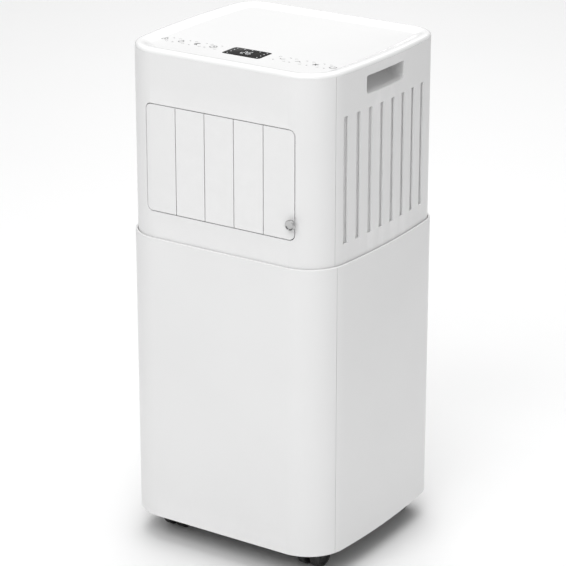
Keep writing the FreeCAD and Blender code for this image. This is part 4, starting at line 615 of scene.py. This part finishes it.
# %% Casings
UPPER_INSET, WALL, SEAM, SEAM_GAP = 3.5 * MM, 2.5 * MM, -112.4 * MM, 0.5 * MM
SKIRT, SPLIT, LAP, LID_BASE, LIP = 38 * MM, 445.3 * MM, 8.3 * MM, 697 * MM, 1.6 * MM
ROW_STEP, LIP_ROWS, MOULDED_EDGE = 40 * MM, 5, 0.45 * MM
SIDE_BEYOND, END_BEYOND = 130 * MM, 100 * MM  # how far out the sides and the two ends begin


def measured(plan, where, distance):
    """Where a distance across the front, along the side or across the back falls on the path."""
    if where == "front":
        return [plan.at_front(distance)]
    if where == "back":
        return [plan.at_back(distance)]
    along = plan.at_side(distance)
    return [along, 2 * plan.half - along]


def casing(name, inset, start, stop, low, high, openings, lip=0.0):
    """One shell of the cabinet, from start to stop along the path."""
    plan = Plan(inset)
    stations = set(plan.steps(start, stop))
    levels = set(spread(low, high, ROW_STEP))
    for k in range(LIP_ROWS + 1 if lip else 0):
        levels.add(high - lip * (1 - math.sin(math.pi / 2 * k / LIP_ROWS)))
    for opening, where in openings:
        columns, rows = opening.lines()
        stations |= {along for x in columns for along in measured(plan, where, x) if start < along < stop}
        levels |= rows

    def solid(along, z):
        x, y = plan.at(along)[:2]
        held = 1.0
        for opening, where in openings:
            if where == "side" and abs(x) > SIDE_BEYOND:
                held = min(held, -opening.depth(y, z))
            elif (where == "front" and y < -END_BEYOND) or (where == "back" and y > END_BEYOND):
                held = min(held, -opening.depth(x, z))
        return held

    def inward(z):
        over = z - (high - lip)
        return lip - math.sqrt(max(0.0, lip ** 2 - over ** 2)) if lip and over > 0 else 0.0

    net = wall_net(plan, merged(stations), merged(levels), WALL, solid, inward)
    return dress(finish_piece(net, name + "_moulding", name, MOULDED_EDGE), name)


def dress(piece, node):
    """Give a new piece the finish of the node that it stands for."""
    piece.data.materials.append(FINISHES[slot_of[node]])
    return piece


print("recipe for a casing:", LIP_ROWS, "rows in the lip")

# %% [markdown]
# ## Where the openings are
# The front has the air outlet. Each side has eight upright slots and a carry opening above them. The back has a
# window for the grille and two round holes, for the drain and for the mains lead.

# %% The four shells
SLOT_FIRST, SLOT_PITCH, SLOT_WIDTH = -98.4, 26.9, 9.1
OUTLET = Opening(-116.8 * MM, 116.8 * MM, 481.9 * MM, 630.3 * MM, 9 * MM, 9 * MM)
SLOTS = [Opening(left * MM, (left + SLOT_WIDTH) * MM, 472.2 * MM, 642.2 * MM)
         for left in [SLOT_FIRST + SLOT_PITCH * k for k in range(8)]]
HANDLE = Opening(-49.7 * MM, 41.9 * MM, 660.3 * MM, 685.3 * MM, 7 * MM, 3 * MM)
REAR_WINDOW = Opening(-110 * MM, 110 * MM, 83 * MM, 415 * MM)


def round_hole(x, z, radius):
    return Opening(x - radius, x + radius, z - radius, z + radius, radius, radius)


upper, lower = Plan(UPPER_INSET), Plan(0.0)
seam_high = [upper.at_side(SEAM + sign * SEAM_GAP / 2) for sign in (-1, 1)]
seam_low = [lower.at_side(SEAM + sign * SEAM_GAP / 2) for sign in (-1, 1)]
rear_holes = [(round_hole(-70 * MM, 62 * MM, 8.5 * MM), "back"), (round_hole(80 * MM, 62 * MM, 7.5 * MM), "back")]
cases = [
    casing("front_upper_casing", UPPER_INSET, -seam_high[0], seam_high[0], SPLIT - LAP, LID_BASE,
           [(OUTLET, "front")]),
    casing("rear_upper_casing", UPPER_INSET, seam_high[1], 2 * upper.half - seam_high[1], SPLIT - LAP, LID_BASE,
           [(slot, "side") for slot in SLOTS] + [(HANDLE, "side")]),
    casing("front_lower_casing", 0.0, -seam_low[0], seam_low[0], SKIRT, SPLIT, [], LIP),
    casing("rear_lower_casing", 0.0, seam_low[1], 2 * lower.half - seam_low[1], SKIRT, SPLIT,
           [(REAR_WINDOW, "back")] + rear_holes, LIP),
]
for piece in cases:
    print(piece.name, len(piece.data.polygons), "faces")

# %% [markdown]
# ## The lid
# The lid is a shallow tray: a rounded shoulder, a soft raised rim and a slope down to a flat floor. All of its
# rings have the cabinet's plan, each a little further in, so the lid is a loft between rings. These helpers lay
# out rings, circles and rounded rectangles, and join them.

# %% Rings of the plan
RING_PIECES = (10, 20, 16, 20, 10)  # points on each part of the plan: front, corner, side, corner, back


def ring(inset, z):
    """The plan's outline at one height, with the same number of points at every inset."""
    plan = Plan(inset)
    joints = [0.0] + plan.ends
    runs = [low + (high - low) * k / count for low, high, count in zip(joints, joints[1:], RING_PIECES)
            for k in range(count)]
    right = [plan.at(run)[:2] for run in runs + [plan.half]]
    left = [(-x, y) for x, y in reversed(right[1:-1])]
    return [(x, y, z) for x, y in right + left]


def on_circle(centre, radius, turns):
    """Points of a circle at the given turns, in radians."""
    return [(centre[0] + radius * math.cos(turn), centre[1] + radius * math.sin(turn)) for turn in turns]


def full_turn(count):
    return [math.tau * k / count for k in range(count)]


def rounded_outline(left, right, low, high, base, crown):
    """Points round a rectangle with rounded corners, anticlockwise from the lower right corner."""
    corners = [(right - base, low + base, base, -90), (right - crown, high - crown, crown, 0),
               (left + crown, high - crown, crown, 90), (left + base, low + base, base, 180)]
    points = []
    for x, y, radius, start in corners:
        turns = [math.radians(start + 90 * k / ARC_PIECES) for k in range(ARC_PIECES + 1)]
        points += on_circle((x, y), radius, turns)
    return points


def loft(net, rings, close_ends=False):
    """Faces between successive rings of equal length. Returns the rings' vertices."""
    laid = [[net.verts.new(point) for point in points] for points in rings]
    for near, far in zip(laid, laid[1:]):
        for k in range(len(near)):
            following = (k + 1) % len(near)
            net.faces.new((near[k], near[following], far[following], far[k]))
    if close_ends:
        net.faces.new(list(reversed(laid[0])))
        net.faces.new(laid[-1])
    return laid


def bridge_flat(net, outer, inner):
    """Fill the flat area between two closed rings of vertices."""
    edges = [net.edges.get(pair) or net.edges.new(pair) for loop in (outer, inner)
             for pair in zip(loop, loop[1:] + loop[:1])]
    bmesh.ops.triangle_fill(net, use_beauty=True, use_dissolve=False, edges=edges)


def smooth_step(t):
    return t * t * (3 - 2 * t)


print("a ring has", len(ring(0.0, 0.0)), "points")

# %% [markdown]
# ## The lid's own shape
# From outside in, the rings climb the shoulder, cross the rim and ease down to the floor. The floor has a rebate
# for the display window, so it is filled between the last ring and the window's outline. A skirt below finds the
# casings, and four bosses take the screws.

# %% Lid
TOP, SHOULDER, RIM, SLOPE, DISH = 703 * MM, 5.4 * MM, 7.5 * MM, 17.5 * MM, 4.3 * MM
SHOULDER_RINGS, SLOPE_RINGS = 10, 14
BOSS_X, BOSS_Y, BOSS_RADIUS, BOSS_LOW = (132.4, 38.4), -92 * MM, 4 * MM, 689.7 * MM
LID_INSET, SLAB_Z, SKIRT_Z = UPPER_INSET + WALL + 0.3 * MM, 695.5 * MM, 690 * MM


def window_edge(grow, z):
    """The display window's outline in the lid, grown or shrunk all round."""
    corner = 4.5 * MM + grow / 2
    outline = rounded_outline(-29.25 * MM - grow, 29.25 * MM + grow, -99.7 * MM - grow, -65.5 * MM + grow,
                              corner, corner)
    return [(x, y, z) for x, y in outline]


def lid_profile():
    """(inset, height) from the lid's lower edge, over the shoulder and rim, to the floor of the dish."""
    points = [(UPPER_INSET + 0.25 * MM, LID_BASE), (UPPER_INSET, LID_BASE + 0.25 * MM)]
    for k in range(SHOULDER_RINGS + 1):
        turn = math.pi / 2 * k / SHOULDER_RINGS
        points.append((UPPER_INSET + SHOULDER * (1 - math.cos(turn)), TOP - SHOULDER * (1 - math.sin(turn))))
    start = UPPER_INSET + RIM
    for k in range(SLOPE_RINGS + 1):
        points.append((start + SLOPE * k / SLOPE_RINGS, TOP - DISH * smooth_step(k / SLOPE_RINGS)))
    return points


def make_lid():
    net = bmesh.new()
    upper_side = loft(net, [ring(inset, z) for inset, z in lid_profile()])
    floor = TOP - DISH
    rebate = loft(net, [window_edge(grow, z) for grow, z in (
        (0.3 * MM, floor), (0.15 * MM, floor - 0.15 * MM), (0.15 * MM, floor - 1.3 * MM),
        (-4 * MM, floor - 1.3 * MM), (-4 * MM, SLAB_Z))])
    bridge_flat(net, upper_side[-1], rebate[0])
    skirt = loft(net, [ring(inset, z) for inset, z in (
        (UPPER_INSET + 0.25 * MM, LID_BASE), (LID_INSET, LID_BASE), (LID_INSET, SKIRT_Z),
        (LID_INSET + 2 * MM, SKIRT_Z), (LID_INSET + 2 * MM, SLAB_Z))])
    bridge_flat(net, skirt[-1], rebate[-1])
    for side in (-1, 1):
        for x in BOSS_X:
            boss = on_circle((side * x * MM, BOSS_Y), BOSS_RADIUS, full_turn(24))
            loft(net, [[(*point, z) for point in boss] for z in (BOSS_LOW, SLAB_Z + 0.1 * MM)], close_ends=True)
    bmesh.ops.remove_doubles(net, verts=net.verts, dist=0.001 * MM)
    return dress(finish_piece(net, "lid_moulding", "top_lid"), "top_lid")


lid = make_lid()

# %% [markdown]
# ## Display window and its lit figures
# The window is a black polished plate let into the lid, flush with the dish. Its outline is the rebate's, a
# little smaller, and its upper edge is rounded in two short steps.

# %% Window
def make_window():
    net = bmesh.new()
    top = TOP - DISH
    loft(net, [window_edge(grow, z) for grow, z in (
        (-0.3 * MM, top - 1.3 * MM), (0.0, top - 1.25 * MM), (0.0, top - 0.2 * MM), (-0.06 * MM, top - 0.06 * MM),
        (-0.2 * MM, top))], close_ends=True)
    return dress(finish_piece(net, "window_plate", "display_window"), "display_window")


window = make_window()
print("window", len(window.data.polygons), "faces")

# %% [markdown]
# ## Lit figures
# A seven-segment readout of two figures shines through the middle of the window, and small indicator dots run
# round three of its sides. They are thin raised prints, because a lit shape with its own edge stays sharp at any
# distance. The same stroke, arc and disc print the touch keys afterwards.

# %% Strokes, arcs and discs
PRINT_LOW = TOP - DISH + 0.01 * MM
PRINT_HIGH = PRINT_LOW + 0.06 * MM


def stamp(net, outline):
    """A thin print on the lid over a closed outline of (x, y) points, anticlockwise."""
    loft(net, [[(x, y, z) for x, y in outline] for z in (PRINT_LOW, PRINT_HIGH)], close_ends=True)


def dash(net, start, end, width):
    """A printed stroke with pointed ends, like one bar of a seven-segment figure."""
    a, b = Vector(start), Vector(end)
    along = (b - a).normalized()
    across = Vector((-along.y, along.x)) * width / 2
    tip = along * width / 2
    stamp(net, [a, a + tip - across, b - tip - across, b, b - tip + across, a + tip + across])


def disc(net, centre, radius):
    stamp(net, on_circle(centre, radius, full_turn(20)))


def arc_dash(net, centre, radius, start, stop, width, pieces):
    """A printed arc, in degrees."""
    turns = [math.radians(start + (stop - start) * k / pieces) for k in range(pieces + 1)]
    stamp(net, on_circle(centre, radius + width / 2, turns) + on_circle(centre, radius - width / 2, turns[::-1]))


SEGMENTS = {"a": ((0, 2), (1, 2)), "b": ((1, 1), (1, 2)), "c": ((1, 0), (1, 1)), "d": ((0, 0), (1, 0)),
            "e": ((0, 0), (0, 1)), "f": ((0, 1), (0, 2)), "g": ((0, 1), (1, 1))}
FIGURES = {"2": "abged", "6": "acdefg"}
FIGURE_WIDTH, FIGURE_SLANT, FIGURE_FILL, FIGURE_LINE = 0.92, 0.1, 0.93, 0.12  # in heights of one segment
FIGURE_SIZE, FIGURE_Y, FIGURE_X = 5.2 * MM, -88.2 * MM, {"2": -7.2 * MM, "6": 1.0 * MM}
DOT_RADIUS, DOTS = 0.95 * MM, [(side * 23.1, y) for side in (-1, 1) for y in (-93.9, -85.3, -77.2, -69.7)]
DOTS += [(x, -69.5) for x in (-12, 0, 12)]


def figure(net, digit, x, y, size):
    """One seven-segment figure, slanting a little, with its lower left corner at x, y."""
    for name in FIGURES[digit]:
        ends = [(x + size * (across * FIGURE_WIDTH + up * FIGURE_SLANT), y + size * up)
                for across, up in SEGMENTS[name]]
        middle = [(low + high) / 2 for low, high in zip(*ends)]
        ends = [[mean + (value - mean) * FIGURE_FILL for mean, value in zip(middle, end)] for end in ends]
        dash(net, *ends, size * FIGURE_LINE)


def glow(name, colour, strength):
    material, tree, shader = start_material(name, {"Roughness": 0.4, "Emission Strength": strength})
    skin = use(tree, GRAIN, Place=place_in(tree), Grain=3000.0, Mottle=400.0)
    tree.links.new(mixed(tree, skin["Shade"], colour, tuple(c * 0.86 for c in colour[:3]) + (1,)),
                   shader.inputs["Emission Color"])
    tree.links.new(mixed(tree, skin["Shade"], grey(0.5), grey(0.4)), shader.inputs["Base Color"])
    return material


def print_piece(net, name, material):
    piece = finish_piece(net, name)
    piece.data.materials.append(material)
    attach(piece, "cabinet")
    return piece


def lit_figures():
    net = bmesh.new()
    for digit, x in FIGURE_X.items():
        figure(net, digit, x, FIGURE_Y, FIGURE_SIZE)
    return print_piece(net, "lit_figures", glow("figure_light", (0.95, 0.97, 1.0, 1), 0.95))


def indicator_dots():
    net = bmesh.new()
    for x, y in DOTS:
        disc(net, (x * MM, y * MM), DOT_RADIUS)
    return print_piece(net, "indicator_dots", glow("dot_light", (0.80, 0.83, 0.86, 1), 0.3))


figures, dots = lit_figures(), indicator_dots()
print("display", len(figures.data.polygons), "+", len(dots.data.polygons), "faces")

# %% [markdown]
# ## Touch keys
# Eight keys lie under the lid's skin, and only grey prints show where they are. Each is a plain sign between four
# short corner marks: power, timer, warmer and cooler, and fan, dry, night and cool air.

# %% Key signs
# A sign is made of bars (x, y to x, y), discs (x, y, radius) and arcs (x, y, radius, from, to, weight, pieces).
# Places are in sizes of the sign and turns in degrees.
def rays(*turns):
    return [(math.cos(math.radians(turn)), math.sin(math.radians(turn)), turn) for turn in turns]


SIGNS = {
    "power": [("arc", 0, 0, 0.38, 120, 420, 1, 24), ("bar", 0, 0.1, 0, 0.5)],
    "timer": [("arc", 0, 0, 0.42, 0, 359, 1, 30), ("bar", 0, -0.04, 0, 0.3), ("bar", -0.03, 0, 0.24, 0)],
    "less": [("bar", -0.36, 0.14, 0.02, -0.2), ("bar", 0.36, 0.14, -0.02, -0.2)],
    "more": [("bar", -0.36, -0.14, 0.02, 0.2), ("bar", 0.36, -0.14, -0.02, 0.2)],
    "frost": [("bar", -c * 0.44, -s * 0.44, c * 0.44, s * 0.44) for c, s, _ in rays(0, 60, 120)],
    "moon": [("arc", 0, 0, 0.36, 70, 290, 1.4, 18), ("arc", 0.2, 0, 0.34, 108, 252, 1, 14)],
    "drop": [("arc", 0, -0.1, 0.3, 150, 390, 1, 18), ("bar", -0.26, 0.04, 0.02, 0.48),
             ("bar", 0.26, 0.04, -0.02, 0.48)],
    "fan": [("disc", 0, 0, 0.08)] + [("arc", 0.25 * c, 0.25 * s, 0.17, turn - 150, turn + 90, 1, 14)
                                     for c, s, turn in rays(90, 210, 330)],
}
KEY_X = {"fan": -130.8, "drop": -104.6, "moon": -78.4, "timer": -53.7, "less": 53.7, "more": 78.4, "frost": 104.6,
         "power": 130.8}
KEY_ROW, KEY_SIZE, KEY_LINE = -81.5 * MM, 11.5 * MM, 0.12
MARK_X, MARK_Y, MARK_REACH, MARK_LINE = 9.0 * MM, 9.4 * MM, 3.0 * MM, 0.6 * MM


def sign(net, kind, x, y, size):
    """A generic sign about size across, centred on x, y."""
    line = size * KEY_LINE
    for shape, across, up, *rest in SIGNS[kind]:
        place = (x + across * size, y + up * size)
        if shape == "bar":
            dash(net, place, (x + rest[0] * size, y + rest[1] * size), line)
        elif shape == "disc":
            disc(net, place, size * rest[0])
        else:
            radius, start, stop, weight, pieces = rest
            arc_dash(net, place, size * radius, start, stop, line * weight, pieces)


def corner_marks(net, x, y):
    for sx in (-1, 1):
        for sy in (-1, 1):
            cx, cy = x + sx * MARK_X, y + sy * MARK_Y
            dash(net, (cx, cy), (cx - sx * MARK_REACH, cy), MARK_LINE)
            dash(net, (cx, cy), (cx, cy - sy * MARK_REACH), MARK_LINE)


def key_prints():
    net = bmesh.new()
    for kind, x in KEY_X.items():
        sign(net, kind, x * MM, KEY_ROW, KEY_SIZE)
        corner_marks(net, x * MM, KEY_ROW)
    ink = moulded("key_ink", grey(0.17), grey(0.14), (0.4, 0.5), grain=2500.0, dust=0.02, wear_and_highlight=0.0)
    return print_piece(net, "key_prints", ink)


keys = key_prints()
print("key prints", len(keys.data.polygons), "faces")

# %% [markdown]
# ## Softened mouldings
# Some drawn parts already have the right shape, and only their edges are too sharp: the vanes with their pins and
# cranks, their link bar, the duct behind them, the rear panels, the drain socket and the casters' forks. Such a
# part is copied, its flat triangles are merged into whole faces, and a small bevel rounds each real edge.

# %% Copies with rounded edges
WELD, FLAT = 0.004 * MM, math.radians(0.6)
CASTERS = {"front_left": (-112, -105), "front_right": (112, -105), "rear_left": (-112, 105), "rear_right": (112, 105)}


def softened(node, bevel):
    net = bmesh.new()
    net.from_mesh(nodes[node].data)
    bmesh.ops.remove_doubles(net, verts=net.verts, dist=WELD)
    bmesh.ops.dissolve_limit(net, angle_limit=FLAT, verts=net.verts, edges=net.edges)
    piece = finish_piece(net, node + "_moulding", node, bevel, segments=2)
    piece.modifiers["edge radius"].use_clamp_overlap = False
    return dress(piece, node)


# The duct behind the vanes is made a dark grey so that the gaps between the vanes read as dark lines: painted shade
# in the gaps.
DUCT_PAINTED_SHADE = moulded("duct_painted_shade_grey", grey(0.10), grey(0.085), (0.5, 0.6))
SOFT_EDGES = {
    "outlet_frame": 0.3, "vane_link_bar": 0.35, "condenser_grille": 0.4, "exhaust_panel": 0.4, "drain_socket": 0.3,
    **{f"caster_fork_{corner}": 0.4 for corner in CASTERS}, **{f"vane_{number}": 0.2 for number in range(1, 6)},
}
for node, bevel in SOFT_EDGES.items():
    piece = softened(node, bevel * MM)
    # the duct takes the dark grey of painted shade in place of its own finish
    if node == "outlet_frame":
        piece.data.materials[0] = DUCT_PAINTED_SHADE
print(len(SOFT_EDGES), "softened copies")

# %% [markdown]
# ## Turned parts
# The knob, the hose collar, the cable gland and the wheels are bodies of revolution. Each is drawn as half a
# section, its corners are eased, and the section is swept round its axis.

# %% Lathe
AXES = {"X": Matrix(((0, 0, 1), (1, 0, 0), (0, 1, 0))), "Y": Matrix(((1, 0, 0), (0, 0, 1), (0, -1, 0))),
        "-Y": Matrix(((1, 0, 0), (0, 0, -1), (0, 1, 0)))}
EASE_PIECES, ON_AXIS = 5, 1e-6


def eased(profile):
    """A closed (radius, along) section whose corners are rounded by the third number of each point."""
    found = []
    for before, here, after in zip(profile[-1:] + profile[:-1], profile, profile[1:] + profile[:1]):
        corner, rounding = Vector(here[:2]), here[2] if len(here) > 2 else 0
        if not rounding:
            found.append(tuple(corner))
            continue
        back, on = Vector(before[:2]) - corner, Vector(after[:2]) - corner
        half = back.angle(on) / 2
        reach = min(rounding / math.tan(half), back.length * 0.49, on.length * 0.49)
        start, end = corner + back.normalized() * reach, corner + on.normalized() * reach
        for k in range(EASE_PIECES + 1):
            t = k / EASE_PIECES
            found.append(tuple(start * (1 - t) ** 2 + corner * 2 * t * (1 - t) + end * t ** 2))
    return found


def lathe(net, profile, axis, centre, sides, closed=True):
    """Sweep a (radius, along) section, in millimetres, round an axis through centre."""
    turn_to, middle = AXES[axis], Vector(centre) * MM
    rings = []
    for radius, along in eased(profile):
        points = on_circle((0, 0), radius * MM, full_turn(sides)) if radius > ON_AXIS else [(0, 0)]
        rings.append([net.verts.new(middle + turn_to @ Vector((*point, along * MM))) for point in points])
    for near, far in zip(rings, rings[1:] + (rings[:1] if closed else [])):
        if len(near) == len(far) == 1:
            continue
        for k in range(sides):
            following = (k + 1) % sides
            if len(near) == 1:
                net.faces.new((near[0], far[following], far[k]))
            elif len(far) == 1:
                net.faces.new((near[k], near[following], far[0]))
            else:
                net.faces.new((near[k], near[following], far[following], far[k]))


def turned(node, profile, axis, centre, sides, closed=True):
    net = bmesh.new()
    lathe(net, profile, axis, centre, sides, closed)
    dress(finish_piece(net, node + "_turning", node, sharp=50), node)


KNOB = [(0, -2), (1.6, -2), (1.6, 3.4), (7.3, 3.4, 0.9), (7.3, 8, 1.3), (6.1, 8, 0.5), (4.6, 7.2, 1.5), (0, 7.0)]
COLLAR = [(60, 121, 0.6), (63.5, 121, 0.6), (63.5, 151.5), (70, 151.5, 0.3), (70, 153.8, 0.8), (63.5, 153.8, 0.8),
          (63.5, 156, 1.2), (60, 156, 1.2)]
GLAND = [(4, 128, 0.4), (7, 128, 0.6), (7, 151.5), (10, 151.5, 0.2), (10, 153.3, 0.6), (5, 154, 0.3), (4, 154, 0.4)]


turned("vane_knob", KNOB, "-Y", (114, -148, 505.4), 96, closed=False)
turned("exhaust_collar", COLLAR, "Y", (35, 0, 342), 128)
turned("mains_gland", GLAND, "Y", (80, 0, 62), 64)
print("turned: knob, collar, gland")

# %% [markdown]
# ## Casters
# Each caster has two hard wheels on one axle inside a hooded fork. A wheel's tread has rounded shoulders and
# two fine grooves, and its outer face is dished to a raised hub.

# %% Wheels
CASTER_TRAIL, AXLE_Z = 14, 19
WHEEL_NEAR, WHEEL_FAR, AXLE_END, AXLE_RADIUS = 4.5, 16.5, 15, 2.4


def wheel_section(near, far):
    """A wheel between two places along its axle; its outer face is at far."""
    out = 1 if far > near else -1
    return [
        (2.0, near), (18.2, near, 1.2), (19, near + out * 1.6, 1.0),
        (19, near + out * 4.2), (18.6, near + out * 4.5), (19, near + out * 4.8),
        (19, near + out * 7.2), (18.6, near + out * 7.5), (19, near + out * 7.8),
        (19, far - out * 1.8, 1.4), (17.6, far, 1.2), (14.5, far, 0.6), (13.5, far - out * 2.4, 0.8),
        (7.5, far - out * 2.4, 0.8), (6.6, far - out * 0.4, 0.6), (2.0, far - out * 0.4)]


def make_wheels(corner, x, y):
    net = bmesh.new()
    centre = (x, y + CASTER_TRAIL, AXLE_Z)
    for side in (-1, 1):
        lathe(net, wheel_section(side * WHEEL_NEAR, side * WHEEL_FAR), "X", centre, 96)
    axle = [(0, -AXLE_END), (AXLE_RADIUS, -AXLE_END), (AXLE_RADIUS, AXLE_END), (0, AXLE_END)]
    lathe(net, axle, "X", centre, 24, closed=False)
    node = f"caster_wheels_{corner}"
    dress(finish_piece(net, f"wheels_{corner}", node, sharp=40), node)


for corner, place in CASTERS.items():
    make_wheels(corner, *place)
print(len(CASTERS), "pairs of wheels")

# %% [markdown]
# ## Handle cups
# Behind each carry opening is a finger cup: flat above, with a floor that rises towards the back so that
# fingers hook over the lip. It is a loft of the opening's own outline, whose lower edge climbs with depth, and its
# mouth follows the bow of the side so that no gap shows.

# %% Cups
CUP_BACK, CUP_WALL, CUP_EDGE = 129 * MM, 2 * MM, 0.8 * MM
# how high the floor is at each part of the depth
CUP_FLOOR = ((0.0, 660.3), (0.12, 660.5), (0.3, 661.9), (0.5, 664.6), (0.7, 668.4), (0.86, 672.0),
                                 (0.94, 674.2), (1.0, 677.0))


def cup_rings(side, grow):
    """Outlines of the cup from its mouth to its back, grown outwards by the wall's thickness."""
    lining = Plan(UPPER_INSET + WALL + 0.1 * MM)
    rings = []
    for depth, floor in CUP_FLOOR:
        low, high = floor * MM - grow, HANDLE.high + grow
        base = max(1.5 * MM, HANDLE.base * (1 - depth * 0.6)) + grow
        outline = rounded_outline(HANDLE.left - grow, HANDLE.right + grow, low, high, base, HANDLE.crown + grow)
        points = []
        for y, z in outline:
            mouth = lining.at(lining.at_side(y))[0]
            back = CUP_BACK - (grow if depth == 1.0 else 0.0)
            points.append((side * (mouth + (back - mouth) * depth), y, z))
        rings.append(points)
    return rings


def make_cup(name, side):
    net = bmesh.new()
    inner = loft(net, cup_rings(side, 0.0))
    outer = loft(net, cup_rings(side, CUP_WALL))
    for k in range(len(inner[0])):
        following = (k + 1) % len(inner[0])
        net.faces.new((inner[0][k], inner[0][following], outer[0][following], outer[0][k]))
    net.faces.new(inner[-1])
    net.faces.new(outer[-1])
    return dress(finish_piece(net, name + "_moulding", name, CUP_EDGE, sharp=40), name)


cups = [make_cup("handle_cup_left", -1), make_cup("handle_cup_right", 1)]
print("cups", len(cups[0].data.polygons), "faces each")

# %% [markdown]
# ## Filters
# A dust net lies close behind the slots. Each net is a stiff frame with upright ribs and two sets of
# threads, all of them real strips, because a printed pattern would shine like a sheet where light passes between
# real threads.

# %% Nets
FILTER_NEAR, FILTER_DEEP = 6.5 * MM, 8.7 * MM
FILTER_Y, FILTER_LOW, FILTER_HIGH = 104 * MM, 466.2 * MM, 648.2 * MM
FRAME_BAR, RIB_PITCH, HALF_RIB, RIB_STEP = 5 * MM, 34 * MM, 1.2 * MM, 9 * MM
THREAD_PITCH, HALF_THREAD, THREAD_DEEP = 1.3 * MM, 0.33 * MM, 0.5 * MM


def bent_bar(net, side, y_low, y_high, z_low, z_high, near, deep):
    """A bar along the side of the cabinet, from near to deep inside the widest plan."""
    faces = [Plan(near), Plan(deep)]
    rings = []
    for y in spread(y_low, y_high, RIB_STEP):
        outer, inner = [side * plan.at(plan.at_side(y))[0] for plan in faces]
        rings.append([(outer, y, z_low), (outer, y, z_high), (inner, y, z_high), (inner, y, z_low)])
    loft(net, rings, close_ends=True)


def make_filter(node, side):
    net = bmesh.new()
    inner_y, inner_low, inner_high = FILTER_Y - FRAME_BAR, FILTER_LOW + FRAME_BAR, FILTER_HIGH - FRAME_BAR
    middle_thread = FILTER_NEAR + THREAD_DEEP
    for low, high in ((FILTER_LOW, inner_low), (inner_high, FILTER_HIGH)):
        bent_bar(net, side, -FILTER_Y, FILTER_Y, low, high, FILTER_NEAR, FILTER_DEEP)
    outer_ribs = [-FILTER_Y + FRAME_BAR / 2, FILTER_Y - FRAME_BAR / 2]
    for middle in outer_ribs[:1] + [k * RIB_PITCH for k in range(-2, 3)] + outer_ribs[1:]:
        half = FRAME_BAR / 2 if middle in outer_ribs else HALF_RIB
        bent_bar(net, side, middle - half, middle + half, inner_low, inner_high, FILTER_NEAR, FILTER_DEEP)
    for k in range(1, int((FILTER_HIGH - FILTER_LOW - 2 * FRAME_BAR) / THREAD_PITCH)):
        z = inner_low + k * THREAD_PITCH
        bent_bar(net, side, -inner_y, inner_y, z - HALF_THREAD, z + HALF_THREAD, FILTER_NEAR, middle_thread)
    for k in range(1, int((2 * FILTER_Y - 2 * FRAME_BAR) / THREAD_PITCH)):
        y = -inner_y + k * THREAD_PITCH
        bent_bar(net, side, y - HALF_THREAD, y + HALF_THREAD, inner_low, inner_high, middle_thread,
                 FILTER_NEAR + 2 * THREAD_DEEP)
    return dress(finish_piece(net, node + "_net", node), node)


filters = [make_filter("side_filter_left", -1), make_filter("side_filter_right", 1)]
print("nets", len(filters[0].data.polygons), "faces each")

# %% [markdown]
# ## Floor
# The floor is a plain pale sheet under the casters. It is part of the studio, not of the machine.

# %% Floor
def make_floor():
    net = bmesh.new()
    bmesh.ops.create_grid(net, x_segments=8, y_segments=8, size=14)
    mesh = bpy.data.meshes.new("studio_floor")
    net.to_mesh(mesh)
    net.free()
    floor = bpy.data.objects.new("studio_floor", mesh)
    bpy.context.scene.collection.objects.link(floor)
    material, tree, shader = start_material("floor_paper", {"Specular IOR Level": 0.2})
    skin = use(tree, GRAIN, Place=place_in(tree), Grain=120.0, Mottle=1.5)
    colour_and_roughness(tree, shader, mixed(tree, skin["Shade"], grey(0.93), grey(0.92)),
                         ranged(tree, skin["Shade"], 0.85, 0.9))
    mesh.materials.append(material)


make_floor()
